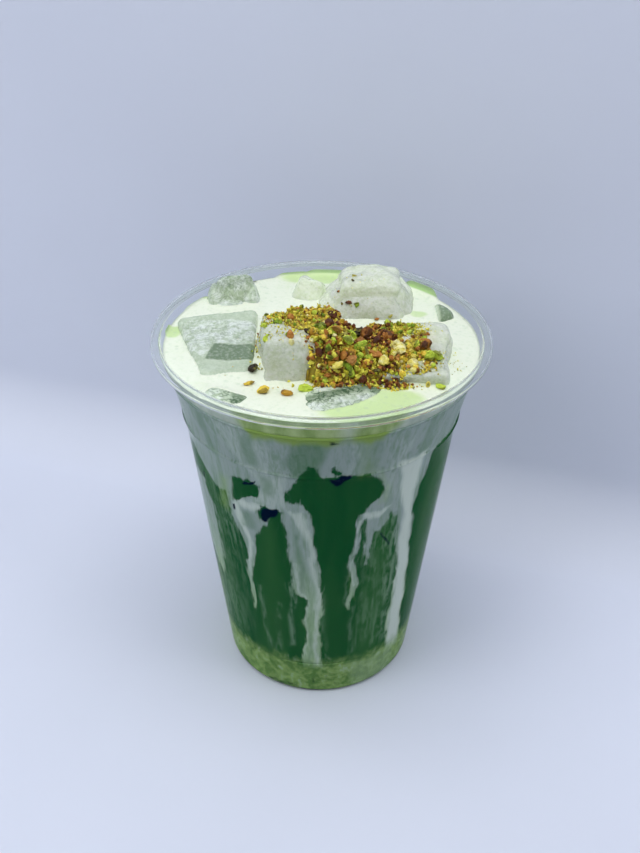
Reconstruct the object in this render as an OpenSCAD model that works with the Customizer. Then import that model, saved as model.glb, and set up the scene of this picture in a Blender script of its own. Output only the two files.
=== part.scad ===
// Iced matcha latte in a clear thermoformed cup with a rolled lip.
// The drink stands in four layers, nine pieces of ice break its surface, and
// a heap of crushed pistachio lies over the middle pieces.
// Frame: origin at the centre of the base, +Z up, -Y is the front.

/* [Cup] */
// Height from the base to the top of the lip
cup_h = 120; // [100:1:150]
// Outside diameter over the rolled lip
rim_d = 98; // [80:1:120]
// Outside diameter of the cone at its foot
base_d = 62.8; // [50:0.1:76]
// Outside diameter at the shoulder ring
shoulder_d = 82.4; // [68:0.1:100]
// Height of the shoulder ring
shoulder_h = 96.4; // [78:0.1:100]
// Wall thickness
wall = 0.5; // [0.3:0.05:1.2]
// Width of the rolled lip, from its inner edge to its outer edge
lip_w = 2.9; // [2.2:0.1:4]
// Height of the rolled lip, down to its free edge
lip_h = 3.4; // [2.6:0.1:5]
// Radius where the wall turns into the base
heel_r = 2.2; // [1:0.1:4]
// Width of the flat ring that the cup stands on
foot_w = 3; // [2:0.1:6]
// Rise of the pushed-up middle of the base
push_h = 3; // [1:0.1:6]
// Length of the slope between the foot and the pushed-up middle
push_slope = 3.5; // [2:0.1:8]

/* [Stacking rings] */
// How far the shoulder ring stands proud of the wall
shoulder_proud = 0.6; // [0.2:0.1:1.2]
// Height of the fill ring above the shoulder ring
fill_ring_rise = 15; // [10:0.5:17]
// How far the fill ring stands proud of the wall
fill_ring_proud = 0.4; // [0.2:0.1:1]
// Half the height of either ring
ring_half = 0.9; // [0.5:0.1:1.6]

/* [Drink] */
// Free space between the drink and the top of the lip
headroom = 4.2; // [4.2:0.1:8]
// Thickness of the foam
foam_t = 3.8; // [2:0.1:6]
// Thickness of the milk under the foam
milk_t = 15; // [8:0.5:25]
// Height of the pale mixed layer at the bottom, from the base
mix_h = 15; // [10:0.5:30]

/* [Ice] */
// Radius on the edges and corners of every piece
ice_round = 1.6; // [0.8:0.1:2.4]
// Gap between the ice and the wall
ice_gap = 0.4; // [0.2:0.1:1.5]

/* [Crushed pistachio] */
// Depth of the crumbs where they lie on ice
crumb_cover = 1.8; // [1:0.1:3]
// Height of the crumbs above the drink between the pieces of ice
crumb_bank = 5; // [3:0.1:7]
// Height of the lumps in the heap
crumb_lump = 0.5; // [0:0.1:1]

/* [Hidden] */
$fn = 96;
ball_fn = 12;

base_r = base_d / 2;
rim_r = rim_d / 2;
neck_r = rim_r - lip_w + wall;
roll_r = lip_w / 2;
roll_z = cup_h - roll_r;
foot_in_r = base_r - heel_r - foot_w;
push_r = foot_in_r - push_slope;

level = cup_h - headroom;
milk_top = level - foam_t;
matcha_top = milk_top - milk_t;
room_top = 2 * cup_h;

// Outside radius of the plain wall at a height.
function outer_r(z) = lookup(z, [[heel_r, base_r], [shoulder_h, shoulder_d / 2], [roll_z, neck_r]]);

// A shallow ring round the wall: points from its lower edge to its upper edge.
ring_steps = 6;
function ring_line(z, proud) = [for (i = [0:ring_steps])
    let (t = 2 * i / ring_steps - 1, h = z + ring_half * t)
    [outer_r(h) + proud * (1 + cos(180 * t)) / 2, h]];

// Points of an arc about a centre, from one angle to another.
function arc_line(c, r, a0, a1, steps = 8) = [for (i = [0:steps])
    let (a = a0 + (a1 - a0) * i / steps) [c[0] + r * cos(a), c[1] + r * sin(a)]];

wall_line = concat([[base_r, heel_r]],
                   ring_line(shoulder_h, shoulder_proud),
                   ring_line(shoulder_h + fill_ring_rise, fill_ring_proud),
                   [[neck_r, roll_z]]);
inner_line = [for (p = wall_line) [p[0] - wall, p[1]]];
floor_line = concat([[0, push_h + wall], [push_r, push_h + wall], [foot_in_r, wall]],
                    arc_line([base_r - heel_r, heel_r], heel_r - wall, -90, -10));
under_line = concat([[0, push_h], [push_r, push_h], [foot_in_r, 0]],
                    arc_line([base_r - heel_r, heel_r], heel_r, -90, -10));

// Inside radius at a height, along the inner line of the wall.
inner_table = [for (p = inner_line) [p[1], p[0]]];
function inner_r(z) = lookup(z, inner_table);
surface_r = inner_r(level);

// The cup's section: up the inside, over the rolled lip, back under the roll
// and down the outside.
module cup() {
    roll_c = [rim_r - roll_r, roll_z];
    free_edge = cup_h - lip_h;
    section = concat(floor_line, inner_line,
                     arc_line(roll_c, roll_r, 180, 0), [[rim_r, free_edge], [rim_r - wall, free_edge]],
                     arc_line(roll_c, roll_r - wall, 0, 180),
                     reversed(wall_line), reversed(under_line));
    color("gainsboro", 0.35) rotate_extrude() polygon(section);
}

function reversed(v) = [for (i = [len(v) - 1:-1:0]) v[i]];

// What fills the cup between two heights; from = 0 starts at the floor.
module fill(from, to) {
    start = from == 0 ? floor_line : [[0, from], [inner_r(from), from]];
    between = [for (p = inner_line) if (p[1] > from && p[1] < to) p];
    rotate_extrude() polygon(concat(start, between, [[inner_r(to), to], [0, to]]));
}

// Each piece of ice is a block with rounded edges: the place of its middle
// from the middle of the drink's surface, its size, its turn in degrees, and
// how wide and deep its far end is beside its near end.  Places and sizes are
// shares of the radius of the surface, so the ice fits the mouth it floats in.
left_ice        = [[-0.635, -0.088, -0.158], [0.536, 0.394, 0.656], [96, -1, 10.8], [0.55, 1]];
back_left_ice   = [[-0.617, 0.604, -0.094],  [0.350, 0.306, 0.350], [-32, 0, 10],   [1, 1]];
centre_ice      = [[-0.131, -0.254, -0.011], [0.525, 0.580, 0.482], [-2, 2, 7],     [0.84, 0.75]];
peak_ice        = [[-0.153, 0.641, -0.083],  [0.197, 0.219, 0.372], [-26, 16, -14], [0.9, 0.9]];
back_right_ice  = [[0.306, 0.547, -0.028],   [0.569, 0.482, 0.503], [-4, 0, -2],    [0.8, 0.9]];
right_ice       = [[0.779, 0.385, -0.138],   [0.197, 0.263, 0.350], [-8, -22, 30],  [1, 1]];
right_centre_ice = [[0.536, -0.252, -0.116], [0.525, 0.547, 0.460], [8, -3, -6],    [0.94, 0.94]];
front_ice       = [[0.131, -0.727, -0.171],  [0.547, 0.175, 0.350], [0, 0, 23],     [1, 1]];
front_left_ice  = [[-0.543, -0.678, -0.149], [0.263, 0.131, 0.306], [0, 0, -30],    [1, 1]];
large_ice = [left_ice, centre_ice, back_right_ice, right_centre_ice, back_left_ice];
all_ice = concat(large_ice, [peak_ice, right_ice, front_ice, front_left_ice]);

module at_ice(b)
    translate([0, 0, level]) translate(surface_r * b[0]) rotate(b[2]) children();

module ice(b) {
    half = surface_r * b[1] / 2 - [ice_round, ice_round, ice_round];
    color("honeydew", 0.7) intersection() {
        at_ice(b) hull() for (sx = [-1, 1], sy = [-1, 1], sz = [-1, 1])
            let (far = sz > 0 ? b[3] : [1, 1])
            translate([sx * half[0] * far[0], sy * half[1] * far[1], sz * half[2]])
                sphere(ice_round, $fn = ball_fn);
        ice_room();
    }
}

// The room that the ice may take: inside the wall, with a gap, and open above.
module ice_room() {
    side = [for (p = inner_line) if (p[1] > mix_h) [p[0] - ice_gap, p[1]]];
    rotate_extrude() polygon(concat([[0, mix_h], [inner_r(mix_h) - ice_gap, mix_h]], side,
                                    [[neck_r - wall - ice_gap, room_top], [0, room_top]]));
}

// A layer of the drink, cut round the pieces of ice that reach down to it.
module drink_layer(from, to, pieces) difference() {
    fill(from, to);
    for (b = pieces) ice(b);
}

module base_layer() color("#7d965f") fill(0, mix_h);
module matcha_layer() color("#17452a") drink_layer(mix_h, matcha_top, large_ice);
module milk_layer() color("#b4bfae") drink_layer(matcha_top, milk_top, all_ice);
module milk_foam() color("#e4efdc") drink_layer(milk_top, level, all_ice);

// The heap of crumbs: a height over each point of an uneven oval, worked out
// from the ice under it, and cut round that ice.
heap_c = surface_r * [0.21, -0.19];
heap_half = surface_r * [0.56, 0.4];
heap_turn = 2;
heap_rings = 10;
heap_spokes = 36;
heap_edge = 16; // the higher, the steeper the heap's edge

function turned(v, r) = // v after the turns r about X, then Y, then Z
    let (a = [v[0], v[1] * cos(r[0]) - v[2] * sin(r[0]), v[1] * sin(r[0]) + v[2] * cos(r[0])],
         b = [a[0] * cos(r[1]) + a[2] * sin(r[1]), a[1], a[2] * cos(r[1]) - a[0] * sin(r[1])])
    [b[0] * cos(r[2]) - b[1] * sin(r[2]), b[0] * sin(r[2]) + b[1] * cos(r[2]), b[2]];

// Height of a block's top face under or beside a point, falling away past its edge.
bank_slope = 1.6;
function over_ice(p, b) =
    let (top = surface_r * (b[0] + turned([0, 0, b[1][2] / 2], b[2])),
         n = turned([0, 0, 1], b[2]), ex = turned([1, 0, 0], b[2]), ey = turned([0, 1, 0], b[2]),
         z = top[2] - (n[0] * (p[0] - top[0]) + n[1] * (p[1] - top[1])) / n[2],
         d = [p[0], p[1], z] - top,
         inside = min(surface_r * b[1][0] * b[3][0] / 2 - abs(d * ex),
                      surface_r * b[1][1] * b[3][1] / 2 - abs(d * ey)))
    z + crumb_cover + bank_slope * min(0, inside);

function lump(p) = crumb_lump * (sin(31 * p[0] + 17) * cos(27 * p[1]) + 0.6 * sin(53 * p[0] - 41 * p[1]));

// How far the oval reaches at a bearing, and the height over it at a share of that reach.
function reach(a) = 1 + 0.06 * sin(3 * a + 40) + 0.05 * sin(5 * a - 70) + 0.03 * sin(8 * a + 10);
function heap_xy(a, share) =
    let (u = [heap_half[0] * cos(a), heap_half[1] * sin(a)] * reach(a) * share)
    heap_c + [u[0] * cos(heap_turn) - u[1] * sin(heap_turn), u[0] * sin(heap_turn) + u[1] * cos(heap_turn)];
function heap_z(p, share) =
    let (h = max(crumb_bank, over_ice(p, centre_ice), over_ice(p, right_centre_ice)) + lump(p))
    h * (1 - pow(share, heap_edge));

heap_points = concat(
    [[heap_c[0], heap_c[1], heap_z(heap_c, 0)]],
    [for (i = [1:heap_rings], j = [0:heap_spokes - 1])
        let (share = i / heap_rings, p = heap_xy(360 * j / heap_spokes, share))
        [p[0], p[1], heap_z(p, share)]]);
function heap_at(i, j) = 1 + (i - 1) * heap_spokes + j % heap_spokes;
heap_faces = concat(
    [for (j = [0:heap_spokes - 1]) [0, heap_at(1, j + 1), heap_at(1, j)]],
    [for (i = [1:heap_rings - 1], j = [0:heap_spokes - 1])
        [heap_at(i, j), heap_at(i, j + 1), heap_at(i + 1, j)]],
    [for (i = [1:heap_rings - 1], j = [0:heap_spokes - 1])
        [heap_at(i, j + 1), heap_at(i + 1, j + 1), heap_at(i + 1, j)]],
    [[for (j = [0:heap_spokes - 1]) heap_at(heap_rings, j)]]);

module pistachio_heap() {
    color("#a8962c") difference() {
        translate([0, 0, level]) polyhedron(heap_points, heap_faces);
        for (b = all_ice) ice(b);
    }
}

cup();
base_layer();
matcha_layer();
milk_layer();
milk_foam();
ice(left_ice);  // ice_left
ice(back_left_ice);  // ice_back_left
ice(centre_ice);  // ice_centre
ice(peak_ice);  // ice_peak
ice(back_right_ice);  // ice_back_right
ice(right_ice);  // ice_right
ice(right_centre_ice);  // ice_right_centre
ice(front_ice);  // ice_front
ice(front_left_ice);  // ice_front_left
pistachio_heap();
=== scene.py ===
import math
import random

import bmesh
import bpy
import numpy as np
from mathutils import Matrix, Vector, noise
from mathutils.bvhtree import BVHTree


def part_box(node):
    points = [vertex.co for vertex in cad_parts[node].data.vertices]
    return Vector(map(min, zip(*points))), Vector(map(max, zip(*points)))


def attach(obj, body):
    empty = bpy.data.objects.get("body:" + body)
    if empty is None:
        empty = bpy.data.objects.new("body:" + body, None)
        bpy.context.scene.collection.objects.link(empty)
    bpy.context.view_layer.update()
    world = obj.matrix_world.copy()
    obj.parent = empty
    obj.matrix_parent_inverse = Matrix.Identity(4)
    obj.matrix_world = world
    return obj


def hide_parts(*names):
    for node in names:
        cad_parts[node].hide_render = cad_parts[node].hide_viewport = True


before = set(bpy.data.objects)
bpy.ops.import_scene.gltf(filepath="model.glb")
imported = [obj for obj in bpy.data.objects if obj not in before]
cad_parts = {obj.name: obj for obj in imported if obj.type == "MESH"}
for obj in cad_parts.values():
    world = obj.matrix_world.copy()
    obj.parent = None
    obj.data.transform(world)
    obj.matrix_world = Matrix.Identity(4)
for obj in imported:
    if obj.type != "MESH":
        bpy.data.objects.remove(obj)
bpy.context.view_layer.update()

mm = 0.001
print("stage: frame loaded")

# Corners and heights that everything else is placed by, in metres; level is the top of the drink.
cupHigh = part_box("cup")[1]
foamLow, level = (corner.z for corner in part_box("milk_foam"))
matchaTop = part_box("matcha_layer")[1].z
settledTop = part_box("base_layer")[1].z


# small helpers

def smooth(low, high, value):
    t = np.clip((np.asarray(value, float) - low) / (high - low), 0, 1)
    return t * t * (3 - 2 * t)


def meshPiece(name, points, faces, material=None, shade=True):
    mesh = bpy.data.meshes.new(name)
    mesh.from_pydata([tuple(p) for p in points], [], faces)
    mesh.update()
    if shade:
        mesh.polygons.foreach_set("use_smooth", [True] * len(mesh.polygons))
    piece = bpy.data.objects.new(name, mesh)
    bpy.context.scene.collection.objects.link(piece)
    if material:
        mesh.materials.append(material)
    return piece


def pointValues(piece, name, values):
    layer = piece.data.attributes.new(name, "FLOAT", "POINT")
    layer.data.foreach_set("value", np.asarray(values, np.float32))


def worldPoints(piece):
    # The points of a mesh as rows of x, y and z in metres.
    points = np.empty(len(piece.data.vertices) * 3)
    piece.data.vertices.foreach_get("co", points)
    return points.reshape(-1, 3)


def movePoints(piece, points):
    piece.data.vertices.foreach_set("co", points.ravel())
    piece.data.update()


def gridFaces(rings, turns):
    # Quads between rings of points that each close on themselves.
    faces = []
    for i in range(rings - 1):
        a = i * turns
        b = a + turns
        for j in range(turns):
            k = (j + 1) % turns
            faces.append((a + j, a + k, b + k, b + j))
    return faces


def lathe(name, profile, turns, material):
    # A solid of revolution from (radius, height) points that run up the inside and down the outside.
    points = []
    for r, z in profile:
        for j in range(turns):
            t = 2 * math.pi * j / turns
            points.append((r * math.cos(t), r * math.sin(t), z))
    piece = meshPiece(name, points, gridFaces(len(profile), turns), material)
    bm = bmesh.new()
    bm.from_mesh(piece.data)
    bmesh.ops.remove_doubles(bm, verts=bm.verts, dist=1e-7)
    bmesh.ops.dissolve_degenerate(bm, edges=bm.edges, dist=1e-7)
    bmesh.ops.recalc_face_normals(bm, faces=bm.faces)
    bm.to_mesh(piece.data)
    bm.free()
    return piece


def treeOf(*pieces):
    # One search tree over the meshes of several pieces.
    points, faces = [], []
    for piece in pieces:
        start = len(points)
        points.extend(v.co.copy() for v in piece.data.vertices)
        faces.extend([start + i for i in p.vertices] for p in piece.data.polygons)
    return BVHTree.FromPolygons(points, faces)


# node helpers

def put(tree, kind, inputs=None, **settings):
    # Adds a node, sets it up, and links or fills its inputs.
    made = tree.nodes.new(kind)
    for key, value in settings.items():
        setattr(made, key, value)
    for key, value in (inputs or {}).items():
        if isinstance(value, bpy.types.NodeSocket):
            tree.links.new(value, made.inputs[key])
        else:
            made.inputs[key].default_value = value
    return made


def maths(tree, operation, a, b=0.0):
    return put(tree, "ShaderNodeMath", {0: a, 1: b}, operation=operation).outputs[0]


def times(tree, a, b):
    return maths(tree, "MULTIPLY", a, b)


def ragged(tree, mask, texture, amount, middle=0.5):
    # Lets a texture eat into a mask and spill over it.
    return maths(tree, "ADD", mask, times(tree, maths(tree, "SUBTRACT", texture, middle), amount))


def blendColour(tree, amount, a, b):
    return put(tree, "ShaderNodeMix", {0: amount, 6: a, 7: b}, data_type="RGBA").outputs[2]


def ramp(tree, value, low, high):
    # 0 below low, 1 above high, smooth between.
    made = put(tree, "ShaderNodeMapRange", {0: value, 1: low, 2: high, 3: 0.0, 4: 1.0})
    made.interpolation_type = "SMOOTHSTEP"
    return made.outputs[0]


def attribute(tree, name):
    return put(tree, "ShaderNodeAttribute", attribute_name=name).outputs["Fac"]


def position(tree, scale=(1, 1, 1)):
    coords = put(tree, "ShaderNodeTexCoord").outputs["Object"]
    return put(tree, "ShaderNodeMapping", {"Vector": coords, "Scale": scale}).outputs[0]


def grain(tree, where, scale, detail=3.0, rough=0.55, warp=0.0):
    made = put(tree, "ShaderNodeTexNoise", {"Vector": where, "Scale": scale, "Detail": detail,
                                            "Roughness": rough, "Distortion": warp})
    return made.outputs["Fac"]


def newGroup(name, inputs, outputs):
    # A node group with named inputs [(name, kind, value)] and outputs [(name, kind)].
    group = bpy.data.node_groups.new(name, "ShaderNodeTree")
    for title, kind, value in inputs:
        socket = group.interface.new_socket(name=title, in_out="INPUT", socket_type="NodeSocket" + kind)
        socket.default_value = value
    for title, kind in outputs:
        group.interface.new_socket(name=title, in_out="OUTPUT", socket_type="NodeSocket" + kind)
    start = group.nodes.new("NodeGroupInput")
    end = group.nodes.new("NodeGroupOutput")
    return group, start, end


def useGroup(tree, group, inputs=None):
    # Adds a group node and links or fills its named inputs.
    return put(tree, "ShaderNodeGroup", inputs, node_tree=group)


def newMaterial(name, **plain):
    # A material with a Principled shader whose plain numbers are set on its own sockets.
    material = bpy.data.materials.new(name)
    material.use_nodes = True
    tree = material.node_tree
    shader = tree.nodes["Principled BSDF"]
    for key, value in plain.items():
        shader.inputs[key].default_value = value
    return material, tree, shader


def wire(tree, source, shader, socket):
    tree.links.new(source, shader.inputs[socket])


def bumpInto(tree, shader, height, strength, distance):
    made = put(tree, "ShaderNodeBump", {"Height": height, "Strength": strength, "Distance": distance})
    tree.links.new(made.outputs[0], shader.inputs["Normal"])


def shadowless(tree, shader, tint):
    # Lets light through clear walls onto what is behind them.
    seeThrough = put(tree, "ShaderNodeBsdfTransparent", {"Color": tint})
    path = put(tree, "ShaderNodeLightPath")
    mixed = put(tree, "ShaderNodeMixShader", {0: path.outputs["Is Shadow Ray"],
                                              1: shader.outputs[0], 2: seeThrough.outputs[0]})
    tree.links.new(mixed.outputs[0], tree.nodes["Material Output"].inputs["Surface"])


# the cup

# lengths in mm; proud is how far a ring stands out, bend is a plastic's index of refraction
cupShape = {
    "wall": 0.5, "baseRadius": 31.4, "heel": 2.2, "foot": 3.0, "pushHeight": 3.0, "pushSlope": 3.5,
    "shoulderHeight": 96.4, "shoulderRadius": 41.2, "shoulderProud": 0.6,
    "fillRingHeight": 111.4, "fillRingProud": 0.4, "ringHalf": 0.9, "ringSteps": 10,
    "lipWidth": 2.9, "lipHeight": 2.5, "turns": 480, "arcSteps": 14, "longestStep": 8, "dryAbove": 1,
    "wallBend": 1.05, "lipBend": 1.42, "lipClear": 0.96,
    "wallTint": (0.97, 0.985, 0.985, 1), "lipTint": (0.90, 0.93, 0.90, 1),
}
rimRadius = cupHigh.x / mm
neckRadius = rimRadius - cupShape["lipWidth"] + cupShape["wall"]
rollRadius = cupShape["lipWidth"] / 2
rollHeight = cupHigh.z / mm - rollRadius


def outerRadius(z):
    # Outside of the plain wall at a height, in mm.
    return np.interp(z, [cupShape["heel"], cupShape["shoulderHeight"], rollHeight],
                     [cupShape["baseRadius"], cupShape["shoulderRadius"], neckRadius])


def arcPoints(centre, radius, start, end):
    steps = cupShape["arcSteps"]
    angles = [math.radians(start + (end - start) * i / steps) for i in range(steps + 1)]
    return [(centre[0] + radius * math.cos(a), centre[1] + radius * math.sin(a)) for a in angles]


def wallLine():
    # Outside of the wall from the heel to the lip, with its two rings.
    c = cupShape
    line = [(c["baseRadius"], c["heel"])]
    for ring in ("shoulder", "fillRing"):
        for i in range(c["ringSteps"] + 1):
            t = 2 * i / c["ringSteps"] - 1
            h = c[ring + "Height"] + c["ringHalf"] * t
            line.append((float(outerRadius(h)) + c[ring + "Proud"] * (1 + math.cos(math.pi * t)) / 2, h))
    line.append((neckRadius, rollHeight))
    return line


def subdivide(line, longest):
    # Adds points along a line so that no step is longer than asked.
    out = [line[0]]
    for a, b in zip(line, line[1:]):
        steps = max(1, math.ceil(math.dist(a, b) / longest))
        out.extend((a[0] + (b[0] - a[0]) * i / steps, a[1] + (b[1] - a[1]) * i / steps)
                   for i in range(1, steps + 1))
    return out


outerLine = wallLine()
innerLine = [(r - cupShape["wall"], z) for r, z in outerLine]
innerHeights = [z for r, z in innerLine]
innerRadii = [r for r, z in innerLine]


def innerRadius(z):
    return np.interp(z, innerHeights, innerRadii)


def floorLine(lift):
    # The underside (lift 0) or the inside (lift = wall) of the pushed-up base.
    c = cupShape
    footIn = c["baseRadius"] - c["heel"] - c["foot"]
    push = footIn - c["pushSlope"]
    flat = [(0, c["pushHeight"] + lift), (push, c["pushHeight"] + lift), (footIn, lift)]
    return flat + arcPoints((c["baseRadius"] - c["heel"], c["heel"]), c["heel"] - lift, -90, -10)


def clearPlasticMaterial(name, bend, clear, tint):
    material, tree, shader = newMaterial(name, **{
        "Base Color": tint, "Roughness": 0.03, "IOR": bend, "Transmission Weight": clear})
    waviness = grain(tree, position(tree, (1, 1, 0.35)), 60, 2, 0.5)
    bumpInto(tree, shader, waviness, 0.05, 0.0004)
    shadowless(tree, shader, (0.93, 0.95, 0.96, 1))
    return material


def makeCup():
    c = cupShape
    rollCentre = (rimRadius - rollRadius, rollHeight)
    freeEdge = cupHigh.z / mm - c["lipHeight"]
    outline = floorLine(c["wall"]) + innerLine + arcPoints(rollCentre, rollRadius, 180, 0)
    outline += [(rimRadius, freeEdge), (rimRadius - c["wall"], freeEdge)]
    outline += arcPoints(rollCentre, rollRadius - c["wall"], 0, 180)
    outline += outerLine[::-1] + floorLine(0)[::-1]
    profile = [(r * mm, z * mm) for r, z in subdivide(outline, c["longestStep"])]
    wallPlastic = clearPlasticMaterial("clear cup plastic", c["wallBend"], 1.0, c["wallTint"])
    cup = lathe("clearCup", profile, c["turns"], wallPlastic)
    # the lip and the bare wall above the drink shine more than the wall that the drink wets
    lipPlastic = clearPlasticMaterial("clear lip plastic", c["lipBend"], c["lipClear"], c["lipTint"])
    cup.data.materials.append(lipPlastic)
    for polygon in cup.data.polygons:
        polygon.material_index = int(polygon.center.z > level + c["dryAbove"] * mm)
    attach(cup, "root")
    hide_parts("cup")


makeCup()
print("stage: cup")


# the drink behind the wall

# lengths in mm; overlap is how far the drink reaches into the wall, and milkFrom is where the milk
# layer begins; the caps have no rings nearer the axis than capHole
drinkShape = {"turns": 480, "step": 0.8, "overlap": 0.12, "milkFrom": (96.2, 97.4), "capHole": 20}

# A streak is how soft its edges are in mm, how strong it is, and its (height, left, right) edges:
# heights in mm, edges in degrees round the cup from its front, with the right positive.

milkStreams = [
    # the curtain of milk left of the dark middle, its arm and the stream that falls from it
    (0.9, 1, [(83, -50, -7), (84.5, -53, -9.5), (86, -56, -12.5), (88, -60, -13.6), (91, -66, -12.6),
              (94, -75, -9.6), (97, -80, -7.8)]),
    (0.8, 1, [(13, -9.5, 3.5), (16, -9.2, 2.6), (20, -8.6, 1.6), (25, -7.6, 0.8), (30, -7.2, 0.4),
              (36, -7, 0.6), (42, -6.2, 1.2), (46.5, -6.2, 1.7), (48, -10, 1.7), (50, -11.4, 1.5),
              (53, -12.6, 1), (58, -13.2, 0.1), (64, -13.4, -1.2), (70, -13.6, -1.8), (76, -15.2, -2.4),
              (80, -16.2, -3.6), (83, -17, -5), (86, -17.5, -8)]),
    (0.7, 1, [(80.6, -40, -36), (81.8, -42, -24), (83, -42, -17), (86, -30, -12)]),
    (0.9, 1, [(70, -38.5, -30), (73, -40.5, -27), (76, -41.5, -23), (79, -42, -20), (82.4, -42, -17)]),
    (0.6, 1, [(36.5, -34.9, -34.3), (40, -36, -33.8), (45, -36.8, -34), (50, -36.2, -34.1),
              (53, -36.8, -33.2), (57, -36.3, -31.8), (60, -35.2, -31), (64, -35.3, -30.4),
              (68, -37.4, -30), (72, -39.5, -29.5)]),
    # right of the dark middle: the curtain, the long stream and the thin hooked line
    (0.9, 1, [(82, 27, 44.6), (83.5, 19.5, 45.2), (85, 21, 46), (86.5, 24.6, 47), (89, 25.8, 48),
              (92, 24.6, 48.6), (94.5, 22, 49.4), (97, 18.5, 51)]),
    (0.9, 1, [(11, 43, 58.5), (15, 41.6, 56), (20, 40.8, 53.6), (25, 40.2, 52), (30, 39.4, 51),
              (36, 39.2, 50.4), (45, 40, 49.6), (52, 39.6, 48), (60, 38, 46.6), (66, 36.2, 46),
              (70, 35.4, 45.2), (76, 34.4, 44.4), (80, 31.5, 44.4), (84, 27, 45.4)]),
    (0.6, 1, [(42, 14, 15.2), (45, 13.8, 16), (48, 14.3, 17.2), (52, 14.8, 18), (56, 14.6, 17.6),
              (60, 13.8, 16.6), (64, 13.2, 16), (68, 13.9, 16.8), (74, 15.1, 17.6), (79, 15.8, 18.6),
              (81.5, 16.4, 21)]),
    (0.6, 1, [(79.2, 17, 20), (80.6, 16.4, 27), (83, 18.4, 30)]),
    (0.8, 1, [(61, 21, 22.4), (66, 20.6, 22.8), (72, 20, 23), (77, 19.6, 23.6), (80.5, 19, 25)]),
    (0.8, 1, [(74, 23, 28), (77, 21.5, 30.5), (80.5, 19, 31)]),
    # the back of the cup
    (1.2, 1, [(12, 96, 113), (24, 99, 109), (40, 100, 107), (60, 97, 106), (78, 95, 108), (97, 86, 116)]),
    (1, 1, [(44, 127, 130), (56, 126, 131), (70, 124, 134), (82, 121, 139), (97, 117, 150)]),
    (1.2, 1, [(13, 154, 166), (30, 156, 163), (50, 157, 164), (66, 152, 163), (84, 148, 166),
              (97, 146, 172)]),
    (1, 1, [(52, -176, -171), (68, -176, -168), (84, -178, -160), (97, -180, -152)]),
    (1.2, 1, [(14, -140, -128), (34, -137, -130), (58, -138, -128), (76, -141, -126), (97, -150, -116)]),
    (1, 1, [(40, -110, -107), (60, -112, -105), (80, -113, -99), (97, -118, -90)]),
    (1.6, 1, [(44, -66, -57), (52, -72, -55.5), (62, -76, -54.8), (72, -76, -56), (79, -72, -60)]),
]
darkPatches = [
    # places inside the milk where the dark drink shows
    (0.7, 1, [(82, -39.6, -37), (84, -39, -31.5), (86, -38.6, -26.8), (88, -38, -25),
              (90.2, -37.4, -24.6)]),
    (0.8, 1, [(95.5, -8.8, 18), (97.2, -7.8, -0.2), (98.4, -6.7, -0.9), (99.6, -5.6, -1.6)]),
    (0.5, 1, [(97.2, 6.2, 9.6), (98.6, 4.6, 6.8), (100.2, 4, 5.2)]),
    (0.7, 1, [(78, -25.5, -21), (80, -25.5, -16.6), (82, -24.4, -16.4)]),
    (0.6, 1, [(66, 31, 32.4), (69, 28.8, 30.8), (71.6, 27, 28.6)]),
]
nightMarksAndFootShadow = [
    # the nearly black, bluish marks; the wide ones along the bottom, 1.4 to 2.8 mm up, are painted shadow
    # of the foot ring
    (0.5, 0.5, [(1.4, -34, -6), (2.8, -28, -12)]),
    (0.5, 0.6, [(4.5, -4, -1.5), (8.5, -3.2, -2)]),
    (0.5, 0.6, [(5, 4, 5.5), (9.5, 4.6, 5.4)]),
    (0.5, 0.6, [(4, 9, 11), (7.5, 9.6, 10.4)]),
    (0.5, 0.4, [(1.4, 28, 46), (2.4, 32, 40)]),
    (0.5, 0.7, [(1.4, 110, 170), (2.8, 120, 160)]),
    (0.6, 1, [(94.2, 6, 9), (95.2, 4.2, 11), (96.3, 3.4, 12)]),
    (0.8, 1, [(78.2, -25, -21.5), (80, -25, -18.6), (81.8, -24, -17.2)]),
    (0.5, 1, [(77.6, -40.4, -39), (79.4, -40.2, -38.9)]),
    (0.35, 1, [(89.6, -33.6, -30.5), (90.4, -32, -27.6), (91.4, -28, -25.9)]),
    (0.5, 0.6, [(108.8, 3.2, 4.6), (110, 3, 8)]),
    (0.7, 1, [(66.4, 31.2, 32.2), (69, 29, 30.6), (71.2, 27.4, 28.4)]),
    (0.6, 1, [(81.4, -61, -60), (82.8, -60.4, -58.4)]),
]
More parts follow.
